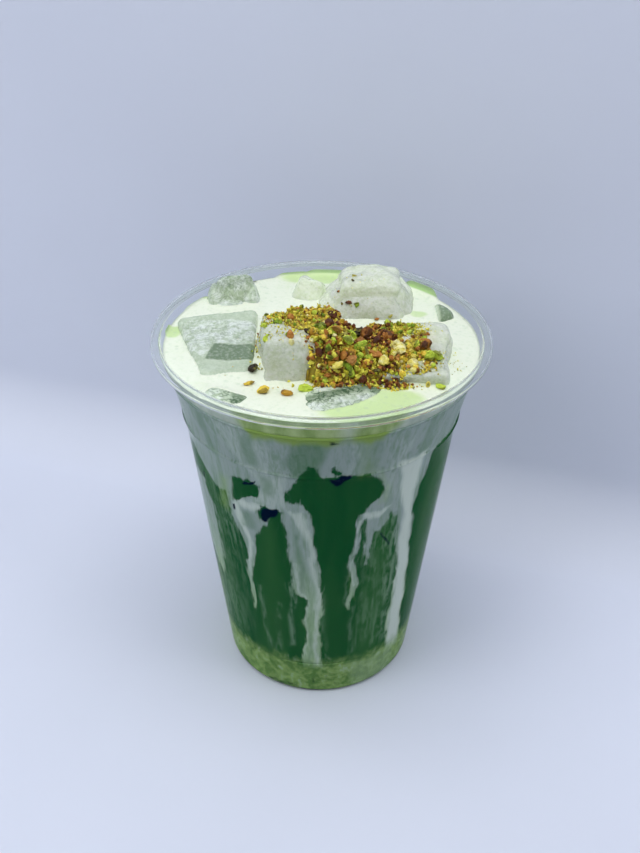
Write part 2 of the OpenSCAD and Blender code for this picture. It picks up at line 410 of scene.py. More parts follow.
hazeVeils = [
    # thin milk that only greys the dark drink
    (3, 0.3, [(24, -60, -41), (50, -58, -38), (78, -60, -39), (90, -62, -38)]),
    (3, 0.6, [(22, -72, -50), (34, -66, -47), (44, -62, -50)]),
    (1.6, 0.85, [(22, 30, 41), (40, 30.5, 41), (56, 31, 40), (72, 29, 37)]),
    (1, 0.35, [(60, 17, 22), (72, 17.4, 22), (80, 18, 22)]),
    (1.6, 0.5, [(24, 21, 30), (44, 21, 30), (60, 22, 29), (76, 22, 30)]),
    (1, 0.7, [(63, 28, 34), (72, 28, 35), (80, 25, 34)]),
    (0.6, 0.75, [(20, 17, 18.6), (32, 16.2, 17.6), (42, 16, 17.2)]),
    (0.5, 0.6, [(44, 12.3, 13.3), (54, 11.8, 13), (62, 12, 13.2)]),
    (0.6, 0.5, [(22, 20, 21.2), (44, 19.4, 20.8), (58, 20.4, 21.6)]),
    (0.7, 0.95, [(20, -23.4, -22), (30, -22, -20.8), (42, -21, -20)]),
    (0.7, 0.95, [(20, -29, -27.6), (34, -30.6, -29.4), (48, -30.4, -29.4)]),
    (0.7, 1, [(24, -15.4, -13.8), (38, -15, -13.4), (46, -13.6, -11.6), (52, -15, -13)]),
    (1, 0.5, [(20, 1, 4.4), (34, 1, 2.4), (48, 1.4, 2.6)]),
    (3.5, 0.15, [(16, 60, 90), (50, 56, 90), (92, 56, 90)]),
    (3, 0.4, [(20, 110, 128), (88, 108, 122)]),
    (3, 0.4, [(20, -166, -146), (84, -162, -144)]),
    (3, 0.15, [(20, -104, -76), (90, -100, -80)]),
    (2, 0.6, [(64, -47, -38), (80, -52, -40), (92, -58, -38)]),
]
oliveTints = [
    # stains of yellowish green
    (3, 0.42, [(97, 12, 24), (106, 12, 20), (112, 12, 22)]),
    (3, 0.45, [(16, -84, -62), (28, -80, -64), (50, -66, -58)]),
    (2.5, 0.5, [(2, 22, 42), (12, 26, 44)]),
    (2, 0.4, [(1, -44, -30), (9, -42, -28)]),
    (2, 0.5, [(76, -50, -40), (88, -48, -38)]),
    (1, 0.35, [(46, 13, 17.6), (60, 13, 17)]),
    (1, 0.4, [(84, 22, 29), (90, 25, 29), (96, 21, 27)]),
]
foamLime = [(1.4, 1, [(110.4, -24, 22), (113, -28, 26), (116, -30, 28), (120, -30, 29)])]
limeBreak = [(1.8, 0.65, [(111, 6.5, 11), (114, 5.5, 12), (119, 7, 12.5)])]
brightRidges = [
    # where the milk is thick and light: the edges and middles of the streams
    (0.8, 0.7, [(14, -3, 1.2), (22, -3.4, 0.4), (32, -3.4, -0.4), (42, -2.6, 0.8), (50, -2.2, 0.8),
                (57, -3.4, -0.4), (64, -5, -1.8), (71, -6, -2.4), (76, -8.2, -3.4), (80, -11, -4.4),
                (83, -14, -7)]),
    (0.8, 0.7, [(20, -7.8, -6.4), (32, -7, -5.6), (44, -6.4, -5), (49, -9.6, -7), (56, -11.4, -9.4),
                (62, -12, -10)]),
    (1, 1, [(12, 43, 55), (20, 41.5, 52.5), (30, 40.5, 50.5), (40, 40.5, 49.5), (52, 40, 48),
            (62, 37.6, 46), (70, 38.5, 44), (78, 37.5, 43.4), (84, 35, 43), (92, 33, 44), (97, 31, 46)]),
    (0.7, 0.8, [(50, -35.4, -34.6), (58, -35.2, -32.6), (66, -34.2, -31.4), (74, -38, -33),
                (80, -40, -36)]),
    (1, 0.8, [(80.5, -39, -20), (82.5, -38, -17)]),
    (1.6, 0.5, [(84, -30, -12), (90, -24, -14), (95, -30, -12)]),
    (3, 0.4, [(94, -30, -12), (104, -42, -16), (112, -46, -18)]),
    (3, 0.75, [(1, 20, 54), (12, 16, 52)]),
    (0.5, 0.8, [(52, 15.6, 16.8), (62, 14, 14.8), (72, 15.2, 16.2), (79, 16.2, 18)]),
    (0.7, 0.8, [(79.6, 17.4, 27), (81.4, 17.4, 31)]),
    (2, 0.3, [(97, 8, 15), (104, 9, 15), (109, 8, 14)]),
    (2, 0.35, [(86, 26, 33), (96, 24, 34), (106, 28, 38)]),
    (2, 0.25, [(97, -60, -52), (108, -62, -56)]),
    (1.2, 0.6, [(96, 98, 112), (60, 99, 104), (30, 101, 106)]),
    (1.2, 0.6, [(97, 150, 166), (60, 156, 161), (26, 158, 161)]),
    (1.4, 0.5, [(97, -146, -124), (60, -136, -130), (30, -135, -131)]),
]
thinMilk = [
    # where the milk is thin and the drink shows green through it
    (1.2, 0.75, [(97.5, -12, -1), (101, -14, 0), (106, -11, 3), (111, -9, 4)]),
    (1, 0.55, [(98, -31, -23), (104, -30, -24), (111, -28, -22)]),
    (1.6, 0.5, [(97, 15, 22), (104, 16, 23), (111, 15, 23)]),
    (1.2, 0.45, [(98, 38, 46), (106, 40, 47), (112, 40, 46)]),
    (1, 0.5, [(97, -50, -44), (104, -51, -46), (110, -50, -45)]),
    (0.8, 0.6, [(50, -9, -6.6), (58, -9.4, -6), (66, -10.4, -7.4), (74, -12, -9)]),
    (0.6, 0.5, [(16, -6.2, -4), (28, -5.6, -3.8), (40, -4.8, -3.2), (46, -4.6, -3)]),
    (0.8, 0.5, [(72, -36, -28), (78, -36, -27)]),
    (0.7, 0.6, [(14, 41.5, 43), (24, 40.8, 42.4), (36, 40.2, 42), (48, 40.6, 42)]),
    (0.6, 0.5, [(62, 36.8, 38.6), (72, 35, 37), (78, 33.6, 36)]),
    (1, 0.5, [(88, -24, -18), (94, -26, -18)]),
    (1.5, 0.5, [(98, 60, 76), (110, 60, 76)]),
    (1.5, 0.5, [(98, -92, -78), (110, -90, -76)]),
    (1.5, 0.6, [(98, 118, 136), (110, 120, 138)]),
    (1.5, 0.6, [(98, -176, -160), (110, -178, -158)]),
]
paintedGreenGlows = [
    # painted light: brighter green where light glows through the drink, toward the sides, where the drink
    # is thinner to the eye
    (5, 0.25, [(14, -90, -42), (50, -90, -44), (96, -96, -48)]),
    (5, 0.25, [(14, 60, 120), (50, 50, 120), (96, 50, 120)]),
    (3, 0.3, [(14, 16, 40), (50, 18, 38), (78, 22, 34)]),
    (3, 0.22, [(14, -40, -14), (50, -32, -14), (76, -30, -18)]),
    (8, 0.2, [(12, -16, 16), (46, -12, 14)]),
    (5, 0.4, [(14, 130, 150), (90, 130, 150)]),
    (5, 0.4, [(14, -160, -110), (90, -160, -110)]),
]


def coverage(shapes, angle, z):
    # How much of any of the shapes lies over points of the wall, 0 to 1.  The edges sway with the height.
    total = np.zeros_like(angle)
    arc = outerRadius(z) * math.pi / 180
    for number, (soft, strength, edges) in enumerate(shapes):
        heights, lefts, rights = np.array(edges, float).T
        sway = 0.7 * np.sin(z * 0.36 + 1.4 * np.sin(angle * 0.31) + number * 1.7)
        sway += 0.3 * np.sin(z * 0.95 + angle * 0.55 + number * 2.9)
        here = angle + sway * 0.8
        bob = z + 0.45 * np.sin(angle * 0.47 + number) + 0.2 * np.sin(angle * 1.25 + z * 0.4)
        left = np.interp(bob, heights, lefts)
        right = np.interp(bob, heights, rights)
        across = np.minimum(here - left, right - here) * arc
        fade = soft * 1.7
        along = np.minimum(bob - heights[0], heights[-1] - bob)
        inside = np.minimum(across, along + fade * 0.5)
        amount = smooth(-fade, fade, inside) * strength
        total = np.maximum(total, amount)
    return total


def wallMasks(points):
    # The masks that the drink's shader reads, for points of its surface in metres.
    x, y, z = points[:, 0], points[:, 1], points[:, 2] / mm
    angle = np.degrees(np.arctan2(x, -y))
    milk = np.maximum(coverage(milkStreams, angle, z), smooth(*drinkShape["milkFrom"], z))
    milk = milk * (1 - coverage(darkPatches, angle, z))
    lime = coverage(foamLime, angle, z) * (1 - coverage(limeBreak, angle, z))
    tables = {"veil": hazeVeils, "night": nightMarksAndFootShadow, "bright": brightRidges, "thin": thinMilk,
              "green": paintedGreenGlows, "olive": oliveTints}
    plain = {key: coverage(shapes, angle, z) for key, shapes in tables.items()}
    return {"milk": milk, **plain, "lime": lime}


def drinkBand(name, low, high, material):
    # A layer of the drink: its side reaches just into the wall, its top and bottom are closed.
    d = drinkShape
    onFloor = low == 0
    if onFloor:
        floor = floorLine(cupShape["wall"] - d["overlap"])
        line = [(r + (d["overlap"] if r > 0 else 0), z) for r, z in floor]
        low = line[-1][1] * mm
    else:
        line = [(0, low / mm), (float(innerRadius(low / mm)) + d["overlap"], low / mm)]
    line += [(r + d["overlap"], z) for r, z in innerLine if low / mm < z < high / mm]
    line += [(float(innerRadius(high / mm)) + d["overlap"], high / mm)]
    plain = 3 if onFloor else 0
    line = line[:plain] + subdivide(line[plain:], d["step"])
    line = [p for p in line if p[0] == 0 or p[0] > d["capHole"]] + [(0, high / mm)]
    piece = lathe(name, [(r * mm, z * mm) for r, z in line], d["turns"], material)
    for key, values in wallMasks(worldPoints(piece)).items():
        pointValues(piece, key, values)
    return piece


def pouredDrinkGroup():
    # Colour of milk and matcha against the wall, from the masks and the height.
    group, start, end = newGroup("poured drink", [
        ("Matcha", "Color", (0.006, 0.068, 0.020, 1)), ("Matcha haze", "Color", (0.075, 0.19, 0.06, 1)),
        ("Milk", "Color", (0.27, 0.33, 0.305, 1)), ("Milk bright", "Color", (0.50, 0.56, 0.50, 1)),
        ("Milk low", "Color", (0.29, 0.40, 0.25, 1)), ("Milk thin", "Color", (0.10, 0.19, 0.11, 1)),
        ("Settled", "Color", (0.235, 0.36, 0.115, 1)), ("Settled dark", "Color", (0.10, 0.20, 0.055, 1)),
        ("Night", "Color", (0.001, 0.006, 0.022, 1)),
        ("Olive", "Color", (0.22, 0.36, 0.08, 1)), ("Lime", "Color", (0.21, 0.31, 0.075, 1))],
        [("Color", "Color"), ("Height", "Float")])
    tones = start.outputs
    drips = position(group, (1, 1, 0.13))
    fine = grain(group, drips, 900, 4, 0.62, 0.5)
    broad = grain(group, drips, 260, 3, 0.55, 0.8)
    torn = grain(group, position(group, (1, 1, 0.45)), 620, 4, 0.65, 0.7)
    curdle = grain(group, position(group), 520, 4, 0.65)
    where = put(group, "ShaderNodeTexCoord").outputs["Object"]
    height = put(group, "ShaderNodeSeparateXYZ", {0: where}).outputs["Z"]

    # the dark drink, greyed by thin milk
    dark = blendColour(group, ramp(group, broad, 0.3, 0.85), tones["Matcha"],
                       blendColour(group, 0.14, tones["Matcha"], tones["Matcha haze"]))
    hairs = ragged(group, ragged(group, fine, broad, 0.8), torn, 0.8)
    veil = times(group, attribute(group, "veil"), ramp(group, hairs, 0.30, 0.66))
    hazy = blendColour(group, 0.45, tones["Matcha haze"], tones["Milk"])
    body = blendColour(group, veil, dark, hazy)
    # painted glow: brighter green where light shines through the drink
    body = blendColour(group, ramp(group, attribute(group, "green"), 0.0, 0.8), body, tones["Matcha haze"])
    # the milk: streaky inside, thin in places, bright along its ridges
    milkEdge = ragged(group, ragged(group, attribute(group, "milk"), torn, 0.9), fine, 1.3)
    lowMilk = ramp(group, height, 0.075, 0.03)
    milkColour = blendColour(group, lowMilk, tones["Milk"], tones["Milk low"])
    streaky = blendColour(group, ramp(group, ragged(group, fine, broad, 0.9), 0.62, 0.24), milkColour,
                          blendColour(group, 0.42, milkColour, tones["Matcha haze"]))
    bright = ramp(group, ragged(group, attribute(group, "bright"), fine, 0.6), 0.15, 1.05)
    streaky = blendColour(group, bright, streaky, tones["Milk bright"])
    thinEdge = ragged(group, ragged(group, attribute(group, "thin"), fine, 0.8), torn, 0.4)
    streaky = blendColour(group, ramp(group, thinEdge, 0.12, 1.0), streaky, tones["Milk thin"])
    body = blendColour(group, ramp(group, milkEdge, 0.22, 0.80), body, streaky)
    olive = ramp(group, ragged(group, attribute(group, "olive"), fine, 0.5), 0.15, 1.1)
    body = blendColour(group, olive, body, tones["Olive"])
    # the settled mixture at the bottom
    edge = ragged(group, height, torn, -0.007)
    edge = ragged(group, edge, broad, -0.006)
    settled = ramp(group, edge, 0.0185, 0.0128)
    settled.node.interpolation_type = "LINEAR"
    blotch = ragged(group, curdle, grain(group, position(group), 170, 3, 0.6, 0.8), 1.4)
    mottled = blendColour(group, ramp(group, blotch, 0.25, 0.68), tones["Settled dark"], tones["Settled"])
    flecks = ramp(group, ragged(group, blotch, torn, 1.0), 0.62, 0.9)
    mottled = blendColour(group, flecks, mottled, tones["Milk low"])
    mottled = blendColour(group, times(group, bright, 0.6), mottled, tones["Milk low"])
    body = blendColour(group, times(group, settled, 0.92), body, mottled)
    lime = ramp(group, ragged(group, attribute(group, "lime"), fine, 0.3), 0.1, 0.95)
    body = blendColour(group, lime, body, tones["Lime"])
    # nearly black marks, and painted shadow of the foot ring along the bottom
    night = ramp(group, ragged(group, attribute(group, "night"), torn, 0.6), 0.3, 0.75)
    body = blendColour(group, night, body, tones["Night"])
    group.links.new(body, end.inputs["Color"])
    group.links.new(fine, end.inputs["Height"])
    return group


pouredDrink = pouredDrinkGroup()


def drinkMaterial(name):
    material, tree, shader = newMaterial(name, **{"Roughness": 0.6, "Specular IOR Level": 0.0})
    made = useGroup(tree, pouredDrink)
    wire(tree, made.outputs["Color"], shader, "Base Color")
    bumpInto(tree, shader, made.outputs["Height"], 0.15, 0.0003)
    return material


for name, node, low, high, slot, finish in [
        ("settledMix", "base_layer", 0, settledTop, "mixed_layer", "settled matcha and milk"),
        ("matchaDrink", "matcha_layer", settledTop, matchaTop, "matcha", "matcha with streams of milk"),
        ("milkDrink", "milk_layer", matchaTop, foamLow, "milk", "milk stained with matcha")]:
    layer = drinkBand(name, low, high, drinkMaterial(finish))
    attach(layer, "root")
    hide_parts(node)
print("stage: drink")


# ice

# grow is how much larger than the plain block, shift in mm, round the passes of smoothing;
# ball is the power that rounds it to an egg, lean and narrow shape its top per mm above the drink
iceLooks = {
    "ice_left": {"look": "clear", "grow": (0.99, 1.07, 1.0), "shift": (0.4, 0.0, 0.35), "round": 5},
    "ice_back_left": {"look": "clear", "grow": (1.02, 1.12, 1.15), "shift": (0.0, 0.6, 1.6), "round": 12,
                      "ball": 3.2, "lean": (0.05, 0.0), "narrow": 0.02},
    "ice_centre": {"look": "frosted", "grow": (1.01, 1.01, 1.0), "shift": (0, 0, 0.1), "round": 9},
    "ice_peak": {"look": "frosted", "grow": (0.95, 0.9, 1.1), "shift": (1.4, 0.0, 0.6), "round": 3},
    "ice_back_right": {"look": "frosted", "grow": (1.24, 1.15, 1.1), "shift": (0, 0, -0.1), "round": 80,
                       "ball": 3.0, "lean": (0.14, 0.02), "narrow": 0.016},
    "ice_right": {"look": "clear", "grow": (1.0, 1.0, 1.0), "shift": (1.0, 0, 0.3), "round": 3},
    "ice_right_centre": {"look": "frosted", "grow": (1.04, 1.04, 1.0), "shift": (0, 0, 0), "round": 14,
                         "ball": 9.0},
    "ice_front": {"look": "clear", "grow": (1.2, 1.7, 1.0), "shift": (-1.2, 2.4, 0.7), "round": 6,
                  "ball": 4.0},
    "ice_front_left": {"look": "clear", "grow": (1.15, 1.0, 1.0), "shift": (-0.8, -0.6, 0.5), "round": 3},
}
# lengths in mm; growFrom is how far below its top a block grows from, wallGap the room to the wall
iceShape = {"voxel": 0.6, "swell": 1.7, "swellSize": 11.0, "dents": 0.7, "dentSize": 4.5, "pits": 0.14,
            "pitSize": 1.2, "clearSwell": 0.25, "clearDents": 0.4, "growFrom": 6, "wallGap": 0.9,
            "rightDrop": 2.2}


def frostGroup():
    # Grains, clouds and fine veins in ice.
    outputs = [(title, "Float") for title in ("Grain", "Cloud", "Vein", "Height")]
    group, start, end = newGroup("ice grain", [("Scale", "Float", 900.0)], outputs)
    where = position(group)
    fine = grain(group, where, start.outputs["Scale"], 4, 0.7)
    cells = put(group, "ShaderNodeTexVoronoi", {"Vector": where, "Scale": start.outputs["Scale"]})
    cells = cells.outputs["Distance"]
    cloud = grain(group, where, 330, 5, 0.7, 0.35)
    lines = grain(group, where, 210, 3, 0.55, 2.2)
    away = maths(group, "ABSOLUTE", maths(group, "SUBTRACT", lines, 0.5))
    group.links.new(fine, end.inputs["Grain"])
    group.links.new(cloud, end.inputs["Cloud"])
    group.links.new(ramp(group, away, 0.045, 0.012), end.inputs["Vein"])
    group.links.new(maths(group, "ADD", fine, times(group, cells, 0.6)), end.inputs["Height"])
    return group


frost = frostGroup()


def iceMaterial(name, clearColour, cloudColour, deepColour, roughness, transmission, speckle, bump):
    material, tree, shader = newMaterial(name, **{
        "Roughness": roughness, "IOR": 1.31, "Transmission Weight": transmission})
    made = useGroup(tree, frost, {"Scale": 1050.0})
    cloud, speck, vein = made.outputs["Cloud"], made.outputs["Grain"], made.outputs["Vein"]
    colour = blendColour(tree, ramp(tree, cloud, 0.36, 0.66), clearColour, cloudColour)
    deep = ramp(tree, ragged(tree, attribute(tree, "deep"), cloud, 0.7), 0.35, 0.8)
    colour = blendColour(tree, deep, colour, deepColour)
    light = times(tree, ramp(tree, speck, 0.48, 0.62), speckle)
    colour = blendColour(tree, light, colour, (0.95, 0.97, 0.88, 1))
    pitted = times(tree, ramp(tree, speck, 0.46, 0.30), speckle * 0.7)
    colour = blendColour(tree, pitted, colour, deepColour)
    curd = maths(tree, "ADD", cloud, times(tree, speck, 0.6))
    film = ramp(tree, ragged(tree, attribute(tree, "film"), curd, 1.3, 0.8), 0.36, 0.80)
    colour = blendColour(tree, film, colour, (0.84, 0.90, 0.82, 1))
    threads = times(tree, vein, attribute(tree, "veins"))
    colour = blendColour(tree, threads, colour, (0.07, 0.13, 0.07, 1))
    wire(tree, colour, shader, "Base Color")
    bumpInto(tree, shader, made.outputs["Height"], bump, 0.0005)
    shadowless(tree, shader, (0.85, 0.9, 0.85, 1))
    return material


iceMaterials = {
    "clear": iceMaterial("clear ice under thin milk", (0.50, 0.60, 0.42, 1), (0.62, 0.71, 0.54, 1),
                         (0.20, 0.28, 0.17, 1), roughness=0.12, transmission=0.12, speckle=0.2, bump=0.2),
    "frosted": iceMaterial("frosted ice", (0.78, 0.85, 0.62, 1), (0.93, 0.97, 0.83, 1),
                           (0.50, 0.57, 0.42, 1), roughness=0.14, transmission=0.3, speckle=0.75, bump=0.5),
}


def applyModifiers(piece):
    # Turns a piece's modifiers into its mesh.
    graph = bpy.context.evaluated_depsgraph_get()
    mesh = bpy.data.meshes.new_from_object(piece.evaluated_get(graph))
    piece.modifiers.clear()
    old = piece.data
    piece.data = mesh
    bpy.data.meshes.remove(old)


def roughCopy(node, name, voxel, smoothing, grow=(1, 1, 1), shift=(0, 0, 0)):
    # A fine, even mesh over a copy of a CAD node, a little larger and moved if asked.
    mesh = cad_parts[node].data.copy()
    low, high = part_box(node)
    middle = (Vector(low) + Vector(high)) / 2
    middle.z = high[2] - iceShape["growFrom"] * mm
    toMiddle = Matrix.Translation(-middle)
    mesh.transform(Matrix.Translation(middle + Vector(shift) * mm) @ Matrix.Diagonal((*grow, 1)) @ toMiddle)
    mesh.name = name
    mesh.materials.clear()
    piece = bpy.data.objects.new(name, mesh)
    bpy.context.scene.collection.objects.link(piece)
    remesh = piece.modifiers.new("even", "REMESH")
    remesh.mode = "VOXEL"
    remesh.voxel_size = voxel * mm
    soften = piece.modifiers.new("soften", "SMOOTH")
    soften.iterations = smoothing
    soften.factor = 0.5
    applyModifiers(piece)
    piece.data.polygons.foreach_set("use_smooth", [True] * len(piece.data.polygons))
    return piece


def bulge(piece, power, lean, narrow):
    # Rounds a block toward an egg (a lower power is rounder), and leans and narrows its top.
    points = worldPoints(piece)
    low, high = points.min(0), points.max(0)
    middle, half = (low + high) / 2, (high - low) / 2
    unit = (points - middle) / half
    length = (np.abs(unit) ** power).sum(1) ** (1 / power)
    flat = np.abs(unit).max(1)
    unit = unit * (flat / np.maximum(length, 1e-6))[:, None] * 1.02
    points = middle + unit * half
    above = np.maximum(points[:, 2] - level, 0) / mm
    points[:, 0] = middle[0] + (points[:, 0] - middle[0]) * (1 - narrow * above) + lean[0] * above * mm
    points[:, 1] += lean[1] * above * mm
    movePoints(piece, points)


def makeIce(node, looks, seed):
    s = iceShape
    words = node.split("_")
    name = words[0] + "".join(w.capitalize() for w in words[1:])
    piece = roughCopy(node, name, s["voxel"], looks["round"], looks["grow"], looks["shift"])
    mesh = piece.data
    if "ball" in looks:
        bulge(piece, looks["ball"], looks.get("lean", (0, 0)), looks.get("narrow", 0))
    shift = Vector((seed * 3.1, seed * 1.7, 0))
    normals = [v.normal.copy() for v in mesh.vertices]
    for vertex, normal in zip(mesh.vertices, normals):
        p = vertex.co / mm
        swell = noise.noise(p / s["swellSize"] + shift) * s["swell"]
        dents = noise.noise(p / s["dentSize"] + shift) * s["dents"]
        pits = noise.noise(p / s["pitSize"] + shift) * s["pits"]
        if looks["look"] == "clear":
            swell, dents = s["clearSwell"] * swell, s["clearDents"] * dents
        vertex.co += normal * (swell + dents + pits) * mm
    points = worldPoints(piece)
    reach = np.hypot(points[:, 0], points[:, 1])
    room = (innerRadius(points[:, 2] / mm) - s["wallGap"]) * mm
    inside = np.minimum(1, room / np.maximum(reach, 1e-6))
    points[:, :2] *= inside[:, None]
    movePoints(piece, points)
    film, deep, veins = iceMasks(node, points)
    if node == "ice_right":
        # its inner half lies under the milk
        points[:, 2] -= smooth(36.4, 34.4, points[:, 0] / mm) * s["rightDrop"] * mm
        movePoints(piece, points)
    pointValues(piece, "film", film)
    pointValues(piece, "deep", deep)
    pointValues(piece, "veins", veins)
    mesh.materials.append(iceMaterials[looks["look"]])
    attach(piece, "root")
    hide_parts(node)
    return piece


def box2d(x, y, left, right, low, high, soft):
    return smooth(-soft, soft, np.minimum(np.minimum(x - left, right - x), np.minimum(y - low, high - y)))


def iceMasks(node, points):
    # Where a piece of ice is filmed with milk, dark, and threaded with dark lines; places in mm.
    above = (points[:, 2] - level) / mm
    x, y = points[:, 0] / mm, points[:, 1] / mm
    film = smooth(1.2, -0.1, above)
    deep = np.zeros(len(x))
    veins = np.zeros(len(x))
    if node == "ice_left":
        band = 0.56 * box2d(x, y, -41, -15, -7.5, 7.0, 1.5)
        film = np.maximum(smooth(0.5, 0.0, above), band)
        film = np.maximum(film, 0.5 * box2d(x, y, -40, -30, -14, -6, 1.5))
        hollow = box2d(x - 0.25 * (y + 9), y - 0.02 * (x + 25) ** 2, -31.5, -17.6, -14.4, -6.4, 1.1)
        film = film * (1 - hollow)
        deep = hollow
        veins = 0.3 * box2d(x, y, -41, -15, -9, 6, 1.5) * (1 - hollow)
    elif node in ("ice_front", "ice_front_left"):
        film = np.full(len(x), 0.52)
        if node == "ice_front":
            line = smooth(3.2, 0.8, np.abs(y + 27.6 + 0.36 * np.abs(x - 12)))
        else:
            line = smooth(-27, -22, x)
        deep = 0.75 * line
        film = film - 0.5 * line
        veins = 0.5 + 0.5 * line
    elif node == "ice_back_left":
        film = np.maximum(smooth(0.8, 0.0, above), 0.5)
        deep = 0.35 + 0.25 * smooth(3, 6, above)
        veins = np.full(len(x), 0.3)
    elif node == "ice_right":
        deep = smooth(34.5, 37, x)
        film = np.maximum(film, smooth(36.2, 34.2, x)) * (1 - deep)
    elif node == "ice_back_right":
        deep = 0.35 * smooth(6.0, 10, above)
        film = np.maximum(film, 0.3 * box2d(x, y, 6, 30, 8, 16, 3))
    return film, deep, veins


icePieces = {node: makeIce(node, looks, i) for i, (node, looks) in enumerate(iceLooks.items())}
iceTree = treeOf(*icePieces.values())
print("stage: ice")


# the foam on top

# lengths in mm; pit is how deep the foam dips under the ice, and milk that stands clingFrom above
# the drink within clingReach of the wall counts as clinging to it
foamShape = {"turns": 480, "ringStep": 0.55, "ripple": 0.12, "rippleSize": 7.0, "pit": 5.0,
             "meniscus": 0.5, "meniscusReach": 0.9, "wallReach": 0.8, "firstRing": 0.02, "sideSteps": 12,
             "clingFrom": 0.45, "clingReach": 2.5}
# how far milk clings up the wall: (bearing, half width, height), degrees and mm
wallClings = [
    (0, 200, 0.35), (0, 46, 1.7), (-34, 12, 1.2), (176, 15, 1.7), (160, 6, 1), (-168, 9, 1.2),
    (136, 11, 2.6), (-137, 6, 2.3), (-120, 10, 0.8), (-96, 5, 1.2), (100, 12, 0.5),
]
# lime patches in the white: (x, y, half width, half depth, strength), mm
limePatches = [
    (12, -38, 15, 6.5, 0.95), (20, -32, 9, 6, 0.8), (-2, 43, 13, 5.5, 1), (29.5, 17, 3.5, 2.5, 0.7),
    (-44, 4, 3.5, 4, 0.9), (-38, 30, 4, 5, 0.9), (34, 31, 7, 5, 0.25), (-34, -27, 7, 5, 0.35),
    (40, 2, 6, 10, 0.25), (-10, 36, 9, 5, 0.35), (-41, -10, 5, 14, 0.3), (5, 19, 5, 3, 0.4),
    (38, -20, 5, 8, 0.25),
]


def foamGroup():
    # Small bubbles in milk foam: dimples for the bump, and rings of painted shade in them.
    group, start, end = newGroup("milk bubbles", [("Scale", "Float", 700.0)],
                                 [("Bubble shade", "Float"), ("Height", "Float")])
    where = position(group)
    scale = start.outputs["Scale"]
    large, small = (put(group, "ShaderNodeTexVoronoi", {"Vector": where, "Scale": size}).outputs["Distance"]
                    for size in (scale, times(group, scale, 2.3)))
    few = grain(group, where, 140, 3, 0.6)
    # the rings dent the bump and also carry the painted shade of the dimples
    ring = times(group, ramp(group, large, 0.36, 0.12), ramp(group, few, 0.42, 0.58))
    fine = times(group, ramp(group, small, 0.4, 0.1), 0.4)
    group.links.new(ring, end.inputs["Bubble shade"])
    group.links.new(maths(group, "SUBTRACT", fine, ring), end.inputs["Height"])
    return group


bubbles = foamGroup()


def foamMaterial():
    material, tree, shader = newMaterial("milk foam with matcha", **{
        "Roughness": 0.32, "Specular IOR Level": 0.4, "Coat Weight": 0.15, "Coat Roughness": 0.1})
    made = useGroup(tree, bubbles, {"Scale": 430.0})
    swirl = grain(tree, position(tree), 190, 4, 0.6, 1.2)
    fine = grain(tree, position(tree), 900, 3, 0.6)
    lime = ramp(tree, ragged(tree, attribute(tree, "limeTop"), swirl, 0.5), 0.25, 0.85)
    colour = blendColour(tree, lime, (0.87, 0.91, 0.73, 1), (0.64, 0.80, 0.38, 1))
    greener = ramp(tree, attribute(tree, "cling"), 0.15, 0.7)
    colour = blendColour(tree, greener, colour, (0.42, 0.66, 0.20, 1))
    faint = times(tree, ramp(tree, fine, 0.48, 0.7), 0.22)
    colour = blendColour(tree, faint, colour, (0.55, 0.70, 0.42, 1))
    # painted shade: darker green rings in the small bubble dimples
    rings = times(tree, made.outputs["Bubble shade"], 0.3)
    colour = blendColour(tree, rings, colour, (0.5, 0.64, 0.42, 1))
    streaks = grain(tree, position(tree, (1, 1, 0.3)), 260, 3, 0.6)
    khaki = blendColour(tree, ramp(tree, streaks, 0.35, 0.7), (0.30, 0.36, 0.29, 1),
                        (0.42, 0.48, 0.39, 1))
    olive = blendColour(tree, ramp(tree, streaks, 0.35, 0.75), (0.185, 0.285, 0.06, 1),
                        (0.36, 0.46, 0.18, 1))
    wallColour = blendColour(tree, attribute(tree, "lime"), khaki, olive)
    colour = blendColour(tree, attribute(tree, "side"), colour, wallColour)
    wire(tree, colour, shader, "Base Color")
    bumpInto(tree, shader, made.outputs["Height"], 0.2, 0.0003)
    return material


def signedFromIce(x, y):
    # Distance from the ice at the drink's level, in mm, less than 0 inside it.
    out = np.empty(len(x))
    for i, (a, b) in enumerate(zip(x, y)):
        point = Vector((a * mm, b * mm, level))
        near, normal, face, distance = iceTree.find_nearest(point)
        outside = (point - near).dot(normal) >= 0
        out[i] = distance / mm if outside else -distance / mm
    return out


def clingAt(angle):
    # How far milk clings up the wall at a bearing, in mm.
    total = np.zeros_like(angle)
    for centre, half, height in wallClings:
        away = np.abs((angle - centre + 180) % 360 - 180)
        total = np.maximum(total, height * smooth(half, half * 0.45, away))
    return total


